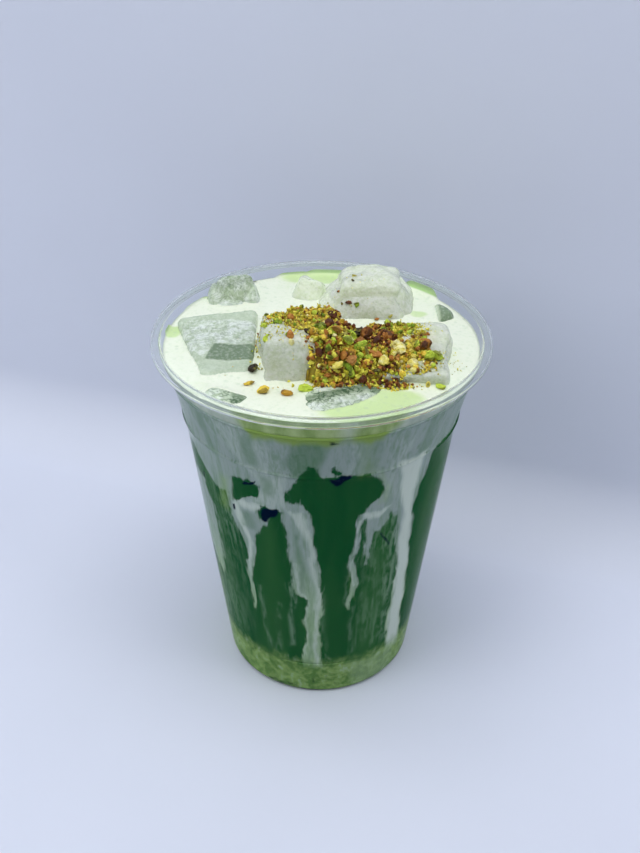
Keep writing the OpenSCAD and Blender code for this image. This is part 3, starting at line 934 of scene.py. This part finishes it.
def makeFoam():
    f = foamShape
    top = float(innerRadius(level / mm)) + drinkShape["overlap"]
    rings = int(top / f["ringStep"])
    turns = f["turns"]
    angles = np.arange(turns) * 2 * math.pi / turns
    radii = np.linspace(f["firstRing"], top, rings)
    r, t = np.meshgrid(radii, angles, indexing="ij")
    x, y = (r * np.sin(t)).ravel(), (-r * np.cos(t)).ravel()
    gap = signedFromIce(x, y)
    ripple = np.array([noise.noise(Vector((a, b, 0)) / f["rippleSize"]) for a, b in zip(x, y)])
    rise = f["ripple"] * ripple
    rise += f["meniscus"] * np.exp(-np.maximum(gap, 0) / f["meniscusReach"])
    rise += -f["pit"] * smooth(-0.35, -1.1, gap)
    degrees = np.degrees(np.arctan2(x, -y))
    cling = clingAt(degrees)
    toWall = top - np.hypot(x, y)
    climb = np.exp(-toWall / f["wallReach"])
    rise = rise * (1 - climb) + cling * climb ** 2
    z = level / mm + rise
    # the outermost ring meets the wall, and nothing passes it
    lean = (innerRadius(z) + drinkShape["overlap"]) / np.maximum(np.hypot(x, y), 1e-6)
    lean = np.where(toWall < 0.01, lean, np.minimum(1, lean))
    x, y = x * lean, y * lean
    points = [np.stack([x, y, z], 1)]
    # down the wall to the milk below
    edgeZ = z[-turns:]
    bottom = foamLow / mm
    steps = f["sideSteps"]
    for i in range(1, steps + 1):
        share = i / steps
        zz = edgeZ + (bottom - edgeZ) * share
        rr = innerRadius(zz) + drinkShape["overlap"]
        points.append(np.stack([rr * np.sin(angles), -rr * np.cos(angles), zz], 1))
    points.append(np.array([[0, 0, bottom], [0, 0, z[0]]]))
    points = np.concatenate(points)
    ringCount = rings + steps
    faces = gridFaces(ringCount, turns)
    last = (ringCount - 1) * turns
    low, high = len(points) - 2, len(points) - 1
    faces += [(last + j, last + (j + 1) % turns, low) for j in range(turns)]
    faces += [((j + 1) % turns, j, high) for j in range(turns)]
    piece = meshPiece("milkFoam", points * mm, faces, foamMaterial())
    bm = bmesh.new()
    bm.from_mesh(piece.data)
    bmesh.ops.recalc_face_normals(bm, faces=bm.faces)
    bm.to_mesh(piece.data)
    bm.free()
    px, py, pz = points[:, 0], points[:, 1], points[:, 2]
    limeTop = np.zeros(len(points))
    for cx, cy, rx, ry, strength in limePatches:
        away = np.hypot((px - cx) / rx, (py - cy) / ry)
        limeTop = np.maximum(limeTop, strength * smooth(1.25, 0.5, away))
    side = np.zeros(len(points))
    side[rings * turns:] = 1
    side[(rings - 1) * turns:rings * turns] = 0.5
    pointValues(piece, "lime", wallMasks(points * mm)["lime"])
    pointValues(piece, "limeTop", limeTop)
    pointValues(piece, "side", side)
    nearWall = np.hypot(px, py) > top - f["clingReach"]
    clingMask = np.maximum(0, pz - level / mm - f["clingFrom"]) * nearWall
    pointValues(piece, "cling", clingMask)
    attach(piece, "root")
    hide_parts("milk_foam")
    return piece


foam = makeFoam()
print("stage: foam")


# crushed pistachio

def crumbGroup():
    # Colour of a crumb: its own tone, a fine grain, and skin on one side.
    group, start, end = newGroup("crumb tone", [
        ("Light", "Color", (0.7, 0.6, 0.2, 1)), ("Dark", "Color", (0.3, 0.25, 0.05, 1)),
        ("Skin", "Color", (0.08, 0.03, 0.015, 1)), ("Skin share", "Float", 0.5)],
        [("Color", "Color"), ("Height", "Float")])
    where = position(group)
    fine = grain(group, where, 1500, 3, 0.6)
    patch = grain(group, where, 760, 3, 0.6)
    mixed = ramp(group, ragged(group, attribute(group, "tone"), patch, 2.2), 0.05, 0.85)
    colour = blendColour(group, mixed, start.outputs["Dark"], start.outputs["Light"])
    skin = ramp(group, ragged(group, attribute(group, "skin"), patch, 1.4), 0.48, 0.62)
    skin = times(group, skin, start.outputs["Skin share"])
    colour = blendColour(group, skin, colour, start.outputs["Skin"])
    group.links.new(colour, end.inputs["Color"])
    group.links.new(fine, end.inputs["Height"])
    return group


crumbTone = crumbGroup()


def crumbMaterial(name, light, dark, skin=(0.06, 0.022, 0.012, 1), share=0.8):
    material, tree, shader = newMaterial(name, **{"Roughness": 0.6, "Specular IOR Level": 0.3})
    made = useGroup(tree, crumbTone, {"Light": light, "Dark": dark, "Skin": skin, "Skin share": share})
    wire(tree, made.outputs["Color"], shader, "Base Color")
    bumpInto(tree, shader, made.outputs["Height"], 0.4, 0.0003)
    return material


crumbKinds = {
    "Meal": crumbMaterial("yellow-green nut meal", (0.90, 0.84, 0.12, 1), (0.42, 0.38, 0.02, 1), share=0.3),
    "Gold": crumbMaterial("golden nut meal", (0.88, 0.68, 0.08, 1), (0.56, 0.34, 0.02, 1), share=0.3),
    "Green": crumbMaterial("green pistachio", (0.55, 0.68, 0.07, 1), (0.20, 0.32, 0.02, 1), share=0.6),
    "Brown": crumbMaterial("toasted nut skin", (0.42, 0.17, 0.03, 1), (0.10, 0.025, 0.006, 1)),
    "Orange": crumbMaterial("toasted nut", (0.70, 0.34, 0.09, 1), (0.44, 0.17, 0.03, 1), share=0.4),
    "Cream": crumbMaterial("pale nut", (0.92, 0.86, 0.42, 1), (0.78, 0.66, 0.12, 1), share=0.25),
    "Dark": crumbMaterial("dark nut skin", (0.40, 0.36, 0.07, 1), (0.025, 0.018, 0.006, 1), share=0.5),
    "Amber": crumbMaterial("golden nut", (0.84, 0.62, 0.07, 1), (0.46, 0.24, 0.02, 1), share=0.6),
}


# corners of a plain and of a detailed crumb, how far out they lie, and (scale, depth) of roughness
stoneShape = {"plainCorners": 9, "corners": 15, "reach": (0.38, 0.56), "rough": ((6, 0.15), (14, 0.06))}


def roughStone(rng, detail):
    # An uneven crumb of about unit size: the hull of scattered points, then roughened.
    s = stoneShape
    bm = bmesh.new()
    for i in range(s["corners"] if detail else s["plainCorners"]):
        v = Vector((rng.gauss(0, 1), rng.gauss(0, 1), rng.gauss(0, 1))).normalized()
        bm.verts.new(v * rng.uniform(*s["reach"]))
    bmesh.ops.convex_hull(bm, input=bm.verts)
    loose = [v for v in bm.verts if not v.link_faces]
    bmesh.ops.delete(bm, geom=loose, context="VERTS")
    if detail:
        bmesh.ops.subdivide_edges(bm, edges=bm.edges, cuts=detail, use_grid_fill=True, smooth=0.35)
        shift = Vector((rng.uniform(0, 50), rng.uniform(0, 50), 0))
        for v in bm.verts:
            rough = sum(noise.noise(v.co * scale + shift) * depth for scale, depth in s["rough"])
            v.co += v.co.normalized() * rough
    bmesh.ops.triangulate(bm, faces=bm.faces)
    points = np.array([v.co[:] for v in bm.verts])
    faces = [tuple(v.index for v in f.verts) for f in bm.faces]
    bm.free()
    return points, faces


# step and half are the cell and the half width of the height map in mm; the rest are shares of a
# crumb's size: where it feels for the ground, how far it spreads, how round and how full it counts
heapShape = {"step": 0.25, "half": 46.0, "feel": 0.28, "spread": 0.42, "round": 0.45, "squash": 0.8,
             "fill": 0.75}


class Heap:
    # Drops crumbs on what lies below and remembers the pile's height.

    def __init__(self, tree):
        self.tree = tree
        self.step = heapShape["step"]
        self.half = heapShape["half"]
        n = int(2 * self.half / self.step)
        self.heights = np.full((n, n), np.nan)

    def cell(self, value):
        return int((value + self.half) / self.step)

    def height(self, x, y):
        i, j = self.cell(x), self.cell(y)
        if np.isnan(self.heights[i, j]):
            hit = self.tree.ray_cast(Vector((x * mm, y * mm, 0.2)), Vector((0, 0, -1)))[0]
            self.heights[i, j] = hit.z / mm if hit else level / mm
        return self.heights[i, j]

    def drop(self, x, y, size, sink=0.3):
        # Height of the middle of a crumb of this size, resting at a place.
        h = heapShape
        reach = size * h["feel"]
        spots = [(x, y), (x + reach, y), (x - reach, y), (x, y + reach), (x, y - reach)]
        ground = [self.height(a, b) for a, b in spots]
        rest = sorted(ground)[2]
        z = rest + size * (0.5 - sink)
        spread = size * h["spread"]
        cells = max(1, int(spread / self.step))
        i0, j0 = self.cell(x), self.cell(y)
        for i in range(i0 - cells, i0 + cells + 1):
            for j in range(j0 - cells, j0 + cells + 1):
                away = math.hypot(i - i0, j - j0) * self.step
                if away < spread:
                    old = self.height((i + 0.5) * self.step - self.half, (j + 0.5) * self.step - self.half)
                    cap = z + math.sqrt(max(0, (size * h["round"]) ** 2 - away ** 2)) * h["squash"]
                    self.heights[i, j] = max(old, old + (cap - old) * h["fill"])
        return z


class Pile:
    # Gathers the crumbs of one kind into one mesh.

    def __init__(self, kind, detail, seed, shapes):
        self.kind = kind
        self.rng = random.Random(seed)
        self.stones = [roughStone(self.rng, detail) for i in range(shapes)]
        self.points, self.faces, self.tone, self.skin = [], [], [], []
        self.count = 0

    def add(self, place, size, flat=(1, 1, 1), turn=None):
        rng = self.rng
        points, faces = self.stones[rng.randrange(len(self.stones))]
        turn = turn or (rng.uniform(0, 360), rng.uniform(0, 360), rng.uniform(0, 360))
        a, b, c = (Matrix.Rotation(math.radians(t), 3, axis) for t, axis in zip(turn, "XYZ"))
        spin = np.array(c @ b @ a)
        local = points * np.array(flat) * size
        self.points.append((local @ spin.T + np.array(place)) * mm)
        self.faces.extend(tuple(i + self.count for i in f) for f in faces)
        self.count += len(points)
        self.tone.append(np.full(len(points), rng.random()))
        side = np.array([rng.gauss(0, 1), rng.gauss(0, 1), rng.gauss(0, 1)])
        side /= np.linalg.norm(side)
        self.skin.append(smooth(0.10, 0.34, points @ side))

    def finish(self):
        name = "pistachio" + self.kind
        piece = meshPiece(name, np.concatenate(self.points), self.faces, crumbKinds[self.kind], False)
        pointValues(piece, "tone", np.concatenate(self.tone))
        pointValues(piece, "skin", np.concatenate(self.skin))
        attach(piece, "root")
        print("  ", name, len(self.tone), "crumbs,", len(piece.data.polygons), "faces")


# The heap's core: what is finer than a grain of rice, packed between the pieces of ice.  In mm, but
# for rimSlope: its underside and rim, where the surface rises less, settle onto what is below.
coreShape = {"voxel": 0.5, "smoothing": 2, "sink": 1.1, "lumps": 0.8, "lumpSize": 1.5, "thinSink": 3.2,
             "toneSize": 1.6, "skinSize": 1.2, "rimSlope": 0.35, "rimDrop": 6, "rimSink": 0.4}
# the outline inside which the crumbs lie thick, in mm
thickOutline = [
    (-16.5, 1), (-7.5, 6.5), (0, 9.5), (3.2, 7), (8, 1.5), (15, -1.6), (26.5, -2.4), (30, -8),
    (32.5, -14), (33, -19), (28.5, -23.5), (22, -27.6), (14, -28), (5, -28.4), (-2.6, -27.2), (-3.6, -21),
    (-4.8, -15), (-10, -12.5), (-14.5, -6),
]


def insideOutline(x, y, outline, soft):
    # 1 well inside a closed outline, 0 well outside, fading over twice the soft distance.
    x, y = np.asarray(x, float), np.asarray(y, float)
    inside = np.zeros(x.shape, bool)
    nearest = np.full(x.shape, 1e9)
    for (ax, ay), (bx, by) in zip(outline, outline[1:] + outline[:1]):
        crosses = ((ay > y) != (by > y)) & (x < (bx - ax) * (y - ay) / (by - ay + 1e-12) + ax)
        inside ^= crosses
        length = (bx - ax) ** 2 + (by - ay) ** 2
        t = np.clip(((x - ax) * (bx - ax) + (y - ay) * (by - ay)) / length, 0, 1)
        nearest = np.minimum(nearest, np.hypot(x - ax - t * (bx - ax), y - ay - t * (by - ay)))
    return smooth(-soft, soft, np.where(inside, nearest, -nearest))


def makeCore():
    c = coreShape
    piece = roughCopy("pistachio_heap", "pistachioCore", c["voxel"], c["smoothing"])
    flat = worldPoints(piece)[:, :2] / mm
    thin = 1 - insideOutline(flat[:, 0], flat[:, 1], thickOutline, 1.5)
    normals = [v.normal.copy() for v in piece.data.vertices]
    for vertex, normal, away in zip(piece.data.vertices, normals, thin):
        p = vertex.co / mm
        lumps = abs(noise.noise(p / c["lumpSize"])) * c["lumps"] * 2
        vertex.co += normal * (lumps - c["sink"]) * mm
        vertex.co.z -= away * c["thinSink"] * mm
    tone = [0.5 + 0.5 * noise.noise(v.co / mm / c["toneSize"]) for v in piece.data.vertices]
    aside = Vector((9, 0, 0))
    skin = [0.5 + noise.noise(v.co / mm / c["skinSize"] + aside) for v in piece.data.vertices]
    pointValues(piece, "tone", tone)
    pointValues(piece, "skin", skin)
    packed = crumbMaterial("packed nut meal", (0.66, 0.54, 0.06, 1), (0.30, 0.19, 0.015, 1), share=0.5)
    piece.data.materials.append(packed)
    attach(piece, "root")
    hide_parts("pistachio_heap")
    return piece


def settle(piece, below):
    # Lowers the underside and the rim of a piece onto what lies below it.
    c = coreShape
    rises = [v.normal.z for v in piece.data.vertices]
    for vertex, rise in zip(piece.data.vertices, rises):
        if rise < c["rimSlope"]:
            hit = below.ray_cast(vertex.co + Vector((0, 0, 0.0001)), Vector((0, 0, -1)))[0]
            if hit and vertex.co.z - hit.z < c["rimDrop"] * mm:
                vertex.co.z = hit.z - c["rimSink"] * mm
    piece.data.update()


core = makeCore()
settle(core, treeOf(foam, *icePieces.values()))
ground = Heap(treeOf(foam, core, *icePieces.values()))
scatterReach = 43.5      # no crumb lies further from the axis, in mm
# each kind's detail, seed and number of shapes
pileSeeds = {"Meal": (0, 11, 24), "Gold": (0, 17, 24), "Green": (2, 12, 14), "Brown": (1, 13, 20),
             "Orange": (2, 14, 14), "Cream": (2, 15, 14), "Dark": (2, 16, 14), "Amber": (2, 18, 14)}
piles = {kind: Pile(kind, *seeds) for kind, seeds in pileSeeds.items()}


def scatter(kind, count, place, sizes, flat=(1, 1, 1), sink=0.3, keepIn=None):
    # Drops crumbs of one kind over an oval (x, y, half width, half depth, turn), thickest in its middle.
    pile = piles[kind]
    rng = pile.rng
    cx, cy, rx, ry, turn = place
    c, s = math.cos(math.radians(turn)), math.sin(math.radians(turn))
    for i in range(count):
        reach = rng.random() ** 0.55
        bearing = rng.uniform(0, 2 * math.pi)
        u, v = rx * reach * math.cos(bearing), ry * reach * math.sin(bearing)
        x, y = cx + u * c - v * s, cy + u * s + v * c
        if math.hypot(x, y) > scatterReach:
            continue
        if keepIn and insideOutline(x, y, keepIn, 1.2) < rng.random():
            continue
        size = sizes[0] + (sizes[1] - sizes[0]) * rng.random() ** 2
        z = ground.drop(x, y, size, sink)
        pile.add((x, y, z), size, flat)


def setDown(kind, x, y, size, flat, turn):
    # One crumb at a chosen place.
    z = ground.drop(x, y, size * min(1, flat[2] + 0.2))
    piles[kind].add((x, y, z), size, flat, turn)


# which faces of the core are steep, how far above the drink in mm, and how deep a crumb sits in them
cladShape = {"slope": (-0.3, 0.75), "above": 0.4, "bury": 0.1}


def clad(kind, count, sizes):
    # Crumbs that stick to the steep sides of the core.
    pile = piles[kind]
    low, high = cladShape["slope"]
    bottom = level + cladShape["above"] * mm
    spots = [p for p in core.data.polygons if low < p.normal.z < high and p.center.z > bottom]
    for i in range(count):
        spot = spots[pile.rng.randrange(len(spots))]
        size = sizes[0] + (sizes[1] - sizes[0]) * pile.rng.random() ** 2
        place = spot.center / mm - spot.normal * size * cladShape["bury"]
        if insideOutline(place.x, place.y, thickOutline, 1.5) > pile.rng.random():
            pile.add(tuple(place), size, (1, 0.9, 0.85))


cladding = [("Gold", 260, (0.9, 2.2)), ("Meal", 320, (0.9, 2.2)), ("Brown", 120, (0.9, 2.0)),
            ("Amber", 60, (1.2, 2.6)), ("Green", 40, (1.2, 2.6))]
for kind, count, sizes in cladding:
    clad(kind, count, sizes)

# a loose bed of crumbs first, by place: kind, count, (x, y, half width, half depth, turn), sizes
bed = [
    ("Gold", 230, (9, -13, 27, 18, 0), (0.8, 1.7)), ("Brown", 80, (9, -13, 27, 18, 0), (0.7, 1.6)),
    ("Meal", 260, (9, -13, 27, 18, 0), (0.8, 1.7)), ("Gold", 110, (4, -22, 9, 7, 0), (1, 2.1)),
    ("Brown", 70, (4, -22, 9, 7, 0), (0.9, 1.9)), ("Meal", 110, (5, -21, 10, 7, 0), (1, 2)),
    ("Meal", 150, (20, -20, 12, 8, 5), (1, 2)), ("Gold", 90, (20, -20, 12, 8, 5), (0.9, 1.9)),
    ("Meal", 60, (17, -24, 9, 4, 0), (0.9, 1.8)), ("Brown", 50, (17, -24, 9, 4, 0), (0.9, 1.8)),
    ("Meal", 300, (-6.5, -1, 7.5, 7, 15), (0.6, 1.3)), ("Gold", 70, (-6, -1, 7.5, 6.5, 15), (0.6, 1.2)),
    ("Meal", 170, (23.5, -5.5, 7.5, 4, 0), (0.6, 1.3)),
    # brown along the ridge, in the gaps and on the right
    ("Brown", 26, (1, 8, 3.2, 2.2, -45), (0.7, 1.7)), ("Brown", 40, (4, 3.6, 4.5, 2.2, -45), (0.7, 1.7)),
    ("Brown", 24, (7, 0, 3.5, 2.2, -40), (0.7, 1.7)), ("Brown", 30, (2, -12.5, 4, 3, 0), (0.7, 1.7)),
    ("Brown", 26, (7, -16.6, 5, 1.8, 0), (0.6, 1.4)), ("Brown", 90, (17, -11.2, 4.2, 4.2, 0), (0.8, 1.8)),
    ("Brown", 20, (0.5, -21.5, 4, 3, 0), (0.7, 1.6)), ("Brown", 22, (18.5, -25, 5, 1.4, 0), (0.6, 1.3)),
    ("Brown", 44, (3.5, 3.5, 6, 3, -45), (1, 2.4)), ("Brown", 18, (28.3, -14.2, 2.4, 2.6, 0), (0.7, 1.6)),
    ("Brown", 24, (17, -5.2, 4, 2.6, 0), (0.7, 1.6)), ("Brown", 10, (-3, -3, 4, 4, 0), (0.6, 1.3)),
    ("Dark", 14, (3, -16, 8, 3.5, 0), (0.7, 1.6)), ("Dark", 12, (14, -18.5, 9, 3, 0), (0.7, 1.6)),
    ("Dark", 12, (5, 2, 6, 2.5, -45), (0.7, 1.6)), ("Dark", 8, (-6, -3, 8, 7, 0), (0.5, 1.1)),
    ("Dark", 9, (3, -23, 6, 4, 0), (0.7, 1.4)),
    # larger crumbs
    ("Green", 20, (4, -21, 8, 6, 0), (1.2, 2.6)), ("Green", 20, (21, -18, 11, 6, 0), (1.2, 2.6)),
    ("Green", 12, (23, -5, 7, 3.5, 0), (1, 2)), ("Green", 14, (2, -10, 8, 5, 0), (1, 2.2)),
    ("Green", 8, (-7, -1, 8, 7, 0), (0.8, 1.6)), ("Orange", 12, (4, -21, 8, 6, 0), (1, 2.3)),
    ("Orange", 12, (19, -19, 10, 6, 0), (1, 2.2)), ("Orange", 9, (17, -9, 6, 5, 0), (0.9, 1.8)),
    ("Orange", 6, (-2, -4, 8, 7, 0), (0.8, 1.5)), ("Cream", 16, (4, -22, 8, 5, 0), (1, 2.2)),
    ("Cream", 20, (21, -20, 10, 5, 0), (1, 2.3)), ("Cream", 6, (-2, -8, 8, 6, 0), (0.8, 1.5)),
    ("Amber", 34, (5, -21, 9, 6, 0), (1.4, 3)), ("Amber", 24, (19, -19, 11, 6, 0), (1.3, 2.8)),
    ("Amber", 12, (3, -8, 8, 6, 0), (1.1, 2.2)), ("Green", 14, (6, -21, 10, 5, 0), (1.6, 3)),
    ("Meal", 60, (7, -21, 12, 6, 0), (1.6, 2.8)), ("Brown", 30, (8, -22, 12, 5, 0), (1.2, 2.6)),
]
for kind, count, place, sizes in bed:
    scatter(kind, count, place, sizes, flat=(1, 0.9, 0.85), sink=0.42, keepIn=thickOutline)

# then the chunks that stand out
chunks = [
    # kind, x, y, size, (length, width, depth), turn
    ("Orange", 10.8, -14.6, 5.6, (1, 0.75, 0.9), (20, -30, 70)),
    ("Green", 10, -18.6, 5.2, (1.15, 0.5, 0.55), (0, -12, 24)),
    ("Orange", 14.2, -19.8, 4, (1.1, 0.6, 0.5), (0, 8, -8)),
    ("Cream", 16.8, -22, 3.2, (1, 0.95, 0.9), None), ("Cream", 24.6, -21.5, 3.6, (1, 0.95, 0.85), None),
    ("Cream", 21.2, -17, 4.2, (1.1, 0.8, 0.7), None), ("Cream", 20, -16, 3, (1, 0.8, 0.8), None),
    ("Green", 31, -17.4, 5, (1, 0.85, 0.75), (0, 30, 50)),
    ("Green", 29.4, -18.6, 3.6, (1, 0.8, 0.7), None), ("Brown", 28.4, -13.8, 4.4, (0.9, 1, 0.8), None),
    ("Brown", 28, -15.6, 3, (1, 0.8, 0.8), None), ("Dark", 10.4, -5, 4.6, (1, 0.9, 0.6), (0, -20, 10)),
    ("Green", 8.6, -6.4, 4, (0.5, 1.2, 0.7), (10, 0, 30)),
    ("Orange", 8.2, -23.8, 3.8, (1, 0.85, 0.85), None), ("Green", 6.8, -20.8, 3.8, (1, 0.9, 0.8), None),
    ("Green", 1.8, -22.6, 2.6, (1.2, 0.8, 0.7), None), ("Cream", 4.4, -25, 3, (1.2, 0.7, 0.7), None),
    ("Green", -0.4, -15.4, 2.8, (1.2, 0.8, 0.7), None), ("Cream", 7.6, -15.4, 2.6, (1, 0.9, 0.8), None),
    ("Orange", -8.2, -19.8, 2.8, (1.2, 0.8, 0.7), None), ("Cream", -8, -21.6, 2.2, (1, 0.8, 0.7), None),
    ("Green", -15, -20.2, 2.4, (1.2, 0.8, 0.7), None), ("Dark", -3.6, -16.6, 2.8, (1, 0.7, 0.6), None),
    ("Dark", 6.4, -15.6, 2.6, (1.3, 0.6, 0.5), None), ("Dark", 12.2, -20.6, 2.8, (1.3, 0.6, 0.4), None),
    ("Dark", 15, -24.4, 2.2, (1.3, 0.7, 0.5), None), ("Brown", 2.2, -14, 3.2, (1, 0.9, 0.8), None),
    ("Brown", 12.4, -6.6, 4.2, (1, 0.9, 0.8), None), ("Brown", 3, -6, 3.6, (1, 0.8, 0.8), None),
    ("Brown", 18.4, -10.4, 3.4, (1, 0.9, 0.8), None), ("Brown", 15.4, -12, 3, (1, 0.9, 0.8), None),
    ("Amber", 8.2, -22.6, 3.6, (1, 0.8, 0.8), None), ("Amber", 4, -18.6, 3.4, (1.1, 0.8, 0.8), None),
    ("Brown", 6, -23.2, 3, (1, 0.8, 0.8), None),
    ("Dark", -18.6, -17.9, 3.9, (0.62, 1.15, 0.5), (0, 0, -12)),
    ("Amber", -19.3, -25.2, 2.4, (1.3, 0.8, 0.6), (0, 0, 20)),
    ("Amber", -15.4, -28.7, 3.8, (1.1, 0.9, 0.7), (0, 0, -8)),
    ("Amber", -9.2, -29.9, 3.2, (1.2, 0.8, 0.6), (0, 0, -20)),
    ("Green", -4, -28, 3.8, (1.25, 0.8, 0.65), (0, 0, -14)), ("Meal", -7.6, -26, 1.5, (1, 1, 0.8), None),
    ("Meal", -8.6, -24.4, 1.3, (1, 1, 0.8), None), ("Green", -12.4, -11.6, 2.8, (1, 0.8, 0.7), None),
    ("Green", -15.4, -12.8, 2.4, (1, 0.9, 0.7), None), ("Amber", -14.6, -6.4, 2, (1, 0.9, 0.7), None),
    ("Orange", -8.6, -8.8, 2.6, (1.2, 0.8, 0.7), None), ("Cream", 28.6, -25.3, 2, (0.9, 1.1, 0.6), None),
    ("Green", 31.8, -26.2, 2.4, (1.3, 0.7, 0.6), (0, 0, -24)),
    ("Brown", 0.2, 11.4, 1.8, (1, 1, 0.7), None), ("Brown", 5, 19, 1.1, (1, 0.8, 0.7), None),
    ("Dark", 9.9, 21.4, 1.4, (1.3, 0.6, 0.5), (0, 0, -30)),
    ("Dark", 9.2, 18.6, 1.3, (0.7, 1.2, 0.5), (0, 0, 20)), ("Dark", 6.1, 15.8, 1.2, (1, 0.8, 0.6), None),
    ("Brown", 8.1, 15.1, 1.9, (1.2, 0.8, 0.6), None),
    ("Brown", 16.7, 12.6, 1.5, (1.3, 0.7, 0.6), (0, 0, 30)),
    ("Dark", 20.9, 12.7, 1.7, (0.8, 1.4, 0.6), (0, 0, -30)), ("Green", 10.6, 14, 1.8, (1, 1, 0.8), None),
]
for kind, x, y, size, flat, turn in chunks:
    setDown(kind, x, y, size, flat, turn)
# last the dust over the pile and the bits scattered round about
dust = [
    ("Meal", 150, (-6.5, -1, 7.5, 7, 15), (0.35, 0.8)), ("Meal", 60, (3, -5, 8, 5, -20), (0.35, 0.8)),
    ("Meal", 70, (4, -21, 9, 7, 0), (0.4, 0.9)), ("Meal", 80, (21, -19, 12, 7, 0), (0.4, 0.9)),
    ("Meal", 90, (23.5, -5.5, 7.5, 4, 0), (0.35, 0.8)), ("Meal", 150, (-9, -12, 11, 11, 0), (0.3, 0.8)),
    ("Meal", 70, (4, -12, 22, 16, 0), (0.3, 0.7)), ("Meal", 80, (27, -12, 12, 12, 0), (0.3, 0.7)),
    ("Meal", 22, (10, 17, 9, 6, 0), (0.3, 0.7)), ("Gold", 50, (0, -14, 28, 20, 0), (0.3, 0.7)),
    ("Meal", 22, (37, -15, 5, 3, 0), (0.3, 0.6)), ("Meal", 200, (-11.5, -5, 7.5, 8.5, 0), (0.4, 1)),
    ("Gold", 60, (-11, -5, 8, 9, 0), (0.5, 1.1)), ("Green", 14, (-11.5, -6, 7, 8, 0), (0.7, 1.5)),
    ("Meal", 60, (-12, -15, 6, 6, 0), (0.4, 0.9)), ("Brown", 40, (-9, -5, 11, 10, 0), (0.4, 0.9)),
    ("Dark", 10, (26, -24, 7, 3, 0), (0.4, 0.9)), ("Meal", 26, (24, -25, 8, 2.5, 0), (0.3, 0.7)),
    ("Green", 8, (-12, -12, 8, 9, 0), (0.6, 1.1)),
]
for kind, count, place, sizes in dust:
    scatter(kind, count, place, sizes)
for pile in piles.values():
    pile.finish()
print("stage: crumbs")


# floor, light and camera

def stageMaterial():
    material, tree, shader = newMaterial("pale studio paper", **{
        "Roughness": 0.85, "Specular IOR Level": 0.2})
    tone = grain(tree, position(tree), 9, 2, 0.5)
    colour = blendColour(tree, ramp(tree, tone, 0.2, 0.8), (0.70, 0.73, 0.82, 1), (0.73, 0.76, 0.85, 1))
    wire(tree, colour, shader, "Base Color")
    # seen from behind the paper is clear, so that it never hides the cup
    clear = put(tree, "ShaderNodeBsdfTransparent")
    behind = put(tree, "ShaderNodeNewGeometry").outputs["Backfacing"]
    mixed = put(tree, "ShaderNodeMixShader", {0: behind, 1: shader.outputs[0], 2: clear.outputs[0]})
    tree.links.new(mixed.outputs[0], tree.nodes["Material Output"].inputs["Surface"])
    return material


# metres, and degrees for the turn
stageShape = {"half": 1.4, "wallAway": 0.082, "turn": -17.5, "cove": 0.03, "coveSteps": 12,
              "wallHeight": 1.2, "farDrop": 0.0002}


def makeStage():
    # A pale floor that curves up into a pale wall close behind the cup.
    s = stageShape
    foot = s["wallAway"] - s["cove"]
    line = [(-s["half"], 0.0), (foot, 0.0)]
    for i in range(1, s["coveSteps"] + 1):
        a = math.pi / 2 * i / s["coveSteps"]
        line.append((foot + s["cove"] * math.sin(a), s["cove"] * (1 - math.cos(a))))
    line.append((s["wallAway"], s["wallHeight"]))
    points = [(x, y, z) for y, z in line for x in (-s["half"], s["half"])]
    faces = [(2 * i, 2 * i + 1, 2 * i + 3, 2 * i + 2) for i in range(len(line) - 1)]
    # the floor goes on behind the wall
    points += [(x, y, -s["farDrop"]) for y in (foot, s["half"]) for x in (-s["half"], s["half"])]
    faces.append(tuple(len(points) - i for i in (4, 3, 1, 2)))
    floor = meshPiece("studioFloor", points, faces, stageMaterial())
    floor.data.transform(Matrix.Rotation(math.radians(s["turn"]), 4, "Z"))


def addLight(name, place, target, size, power, colour):
    light = bpy.data.lights.new(name, "AREA")
    light.shape = "RECTANGLE"
    light.size, light.size_y = size
    light.energy = power
    light.color = colour
    lamp = bpy.data.objects.new(name, light)
    lamp.location = place
    lamp.rotation_euler = (target - place).to_track_quat("-Z", "Y").to_euler()
    bpy.context.scene.collection.objects.link(lamp)
    # the windows leave no bright shapes on the side of the cup
    lamp.visible_glossy = name == "overhead"


# each lamp's place and size in metres, power in watts and colour
lamps = {
    "overhead": ((0.0, 0.02, 0.95), (0.9, 0.7), 7.0, (0.97, 0.98, 1.0)),
    "leftWindow": ((-0.75, -0.35, 0.55), (0.6, 0.6), 2.2, (0.93, 0.96, 1.0)),
    "rightWindow": ((0.75, -0.25, 0.55), (0.6, 0.6), 2.2, (0.95, 0.97, 1.0)),
}
airSetup = {"colour": (0.80, 0.86, 1.0, 1), "strength": 0.33}


def makeLights():
    middle = Vector((0, 0, cupHigh.z * 0.6))
    for name, (place, size, power, colour) in lamps.items():
        addLight(name, Vector(place), middle, size, power, colour)
    world = bpy.data.worlds.new("studio air")
    world.use_nodes = True
    background = world.node_tree.nodes["Background"].inputs
    background["Color"].default_value = airSetup["colour"]
    background["Strength"].default_value = airSetup["strength"]
    bpy.context.scene.world = world


# place in metres, rise above the horizon and roll in degrees, lens in mm
cameraSetup = {"place": (-0.00022, -0.2348, 0.2431), "rise": 33.85, "lens": 38.6, "roll": 0.49}


def makeCamera():
    c = cameraSetup
    data = bpy.data.cameras.new("studioCamera")
    data.lens = c["lens"]
    data.clip_start = 0.01
    camera = bpy.data.objects.new("studioCamera", data)
    rise = math.radians(c["rise"])
    camera.location = c["place"]
    tilt = Matrix.Rotation(math.pi / 2 - rise, 3, "X") @ Matrix.Rotation(math.radians(c["roll"]), 3, "Z")
    camera.rotation_euler = tilt.to_euler()
    bpy.context.scene.collection.objects.link(camera)
    bpy.context.scene.camera = camera


makeStage()
makeLights()
makeCamera()
bpy.context.scene.view_settings.view_transform = "Standard"
print("stage: studio")
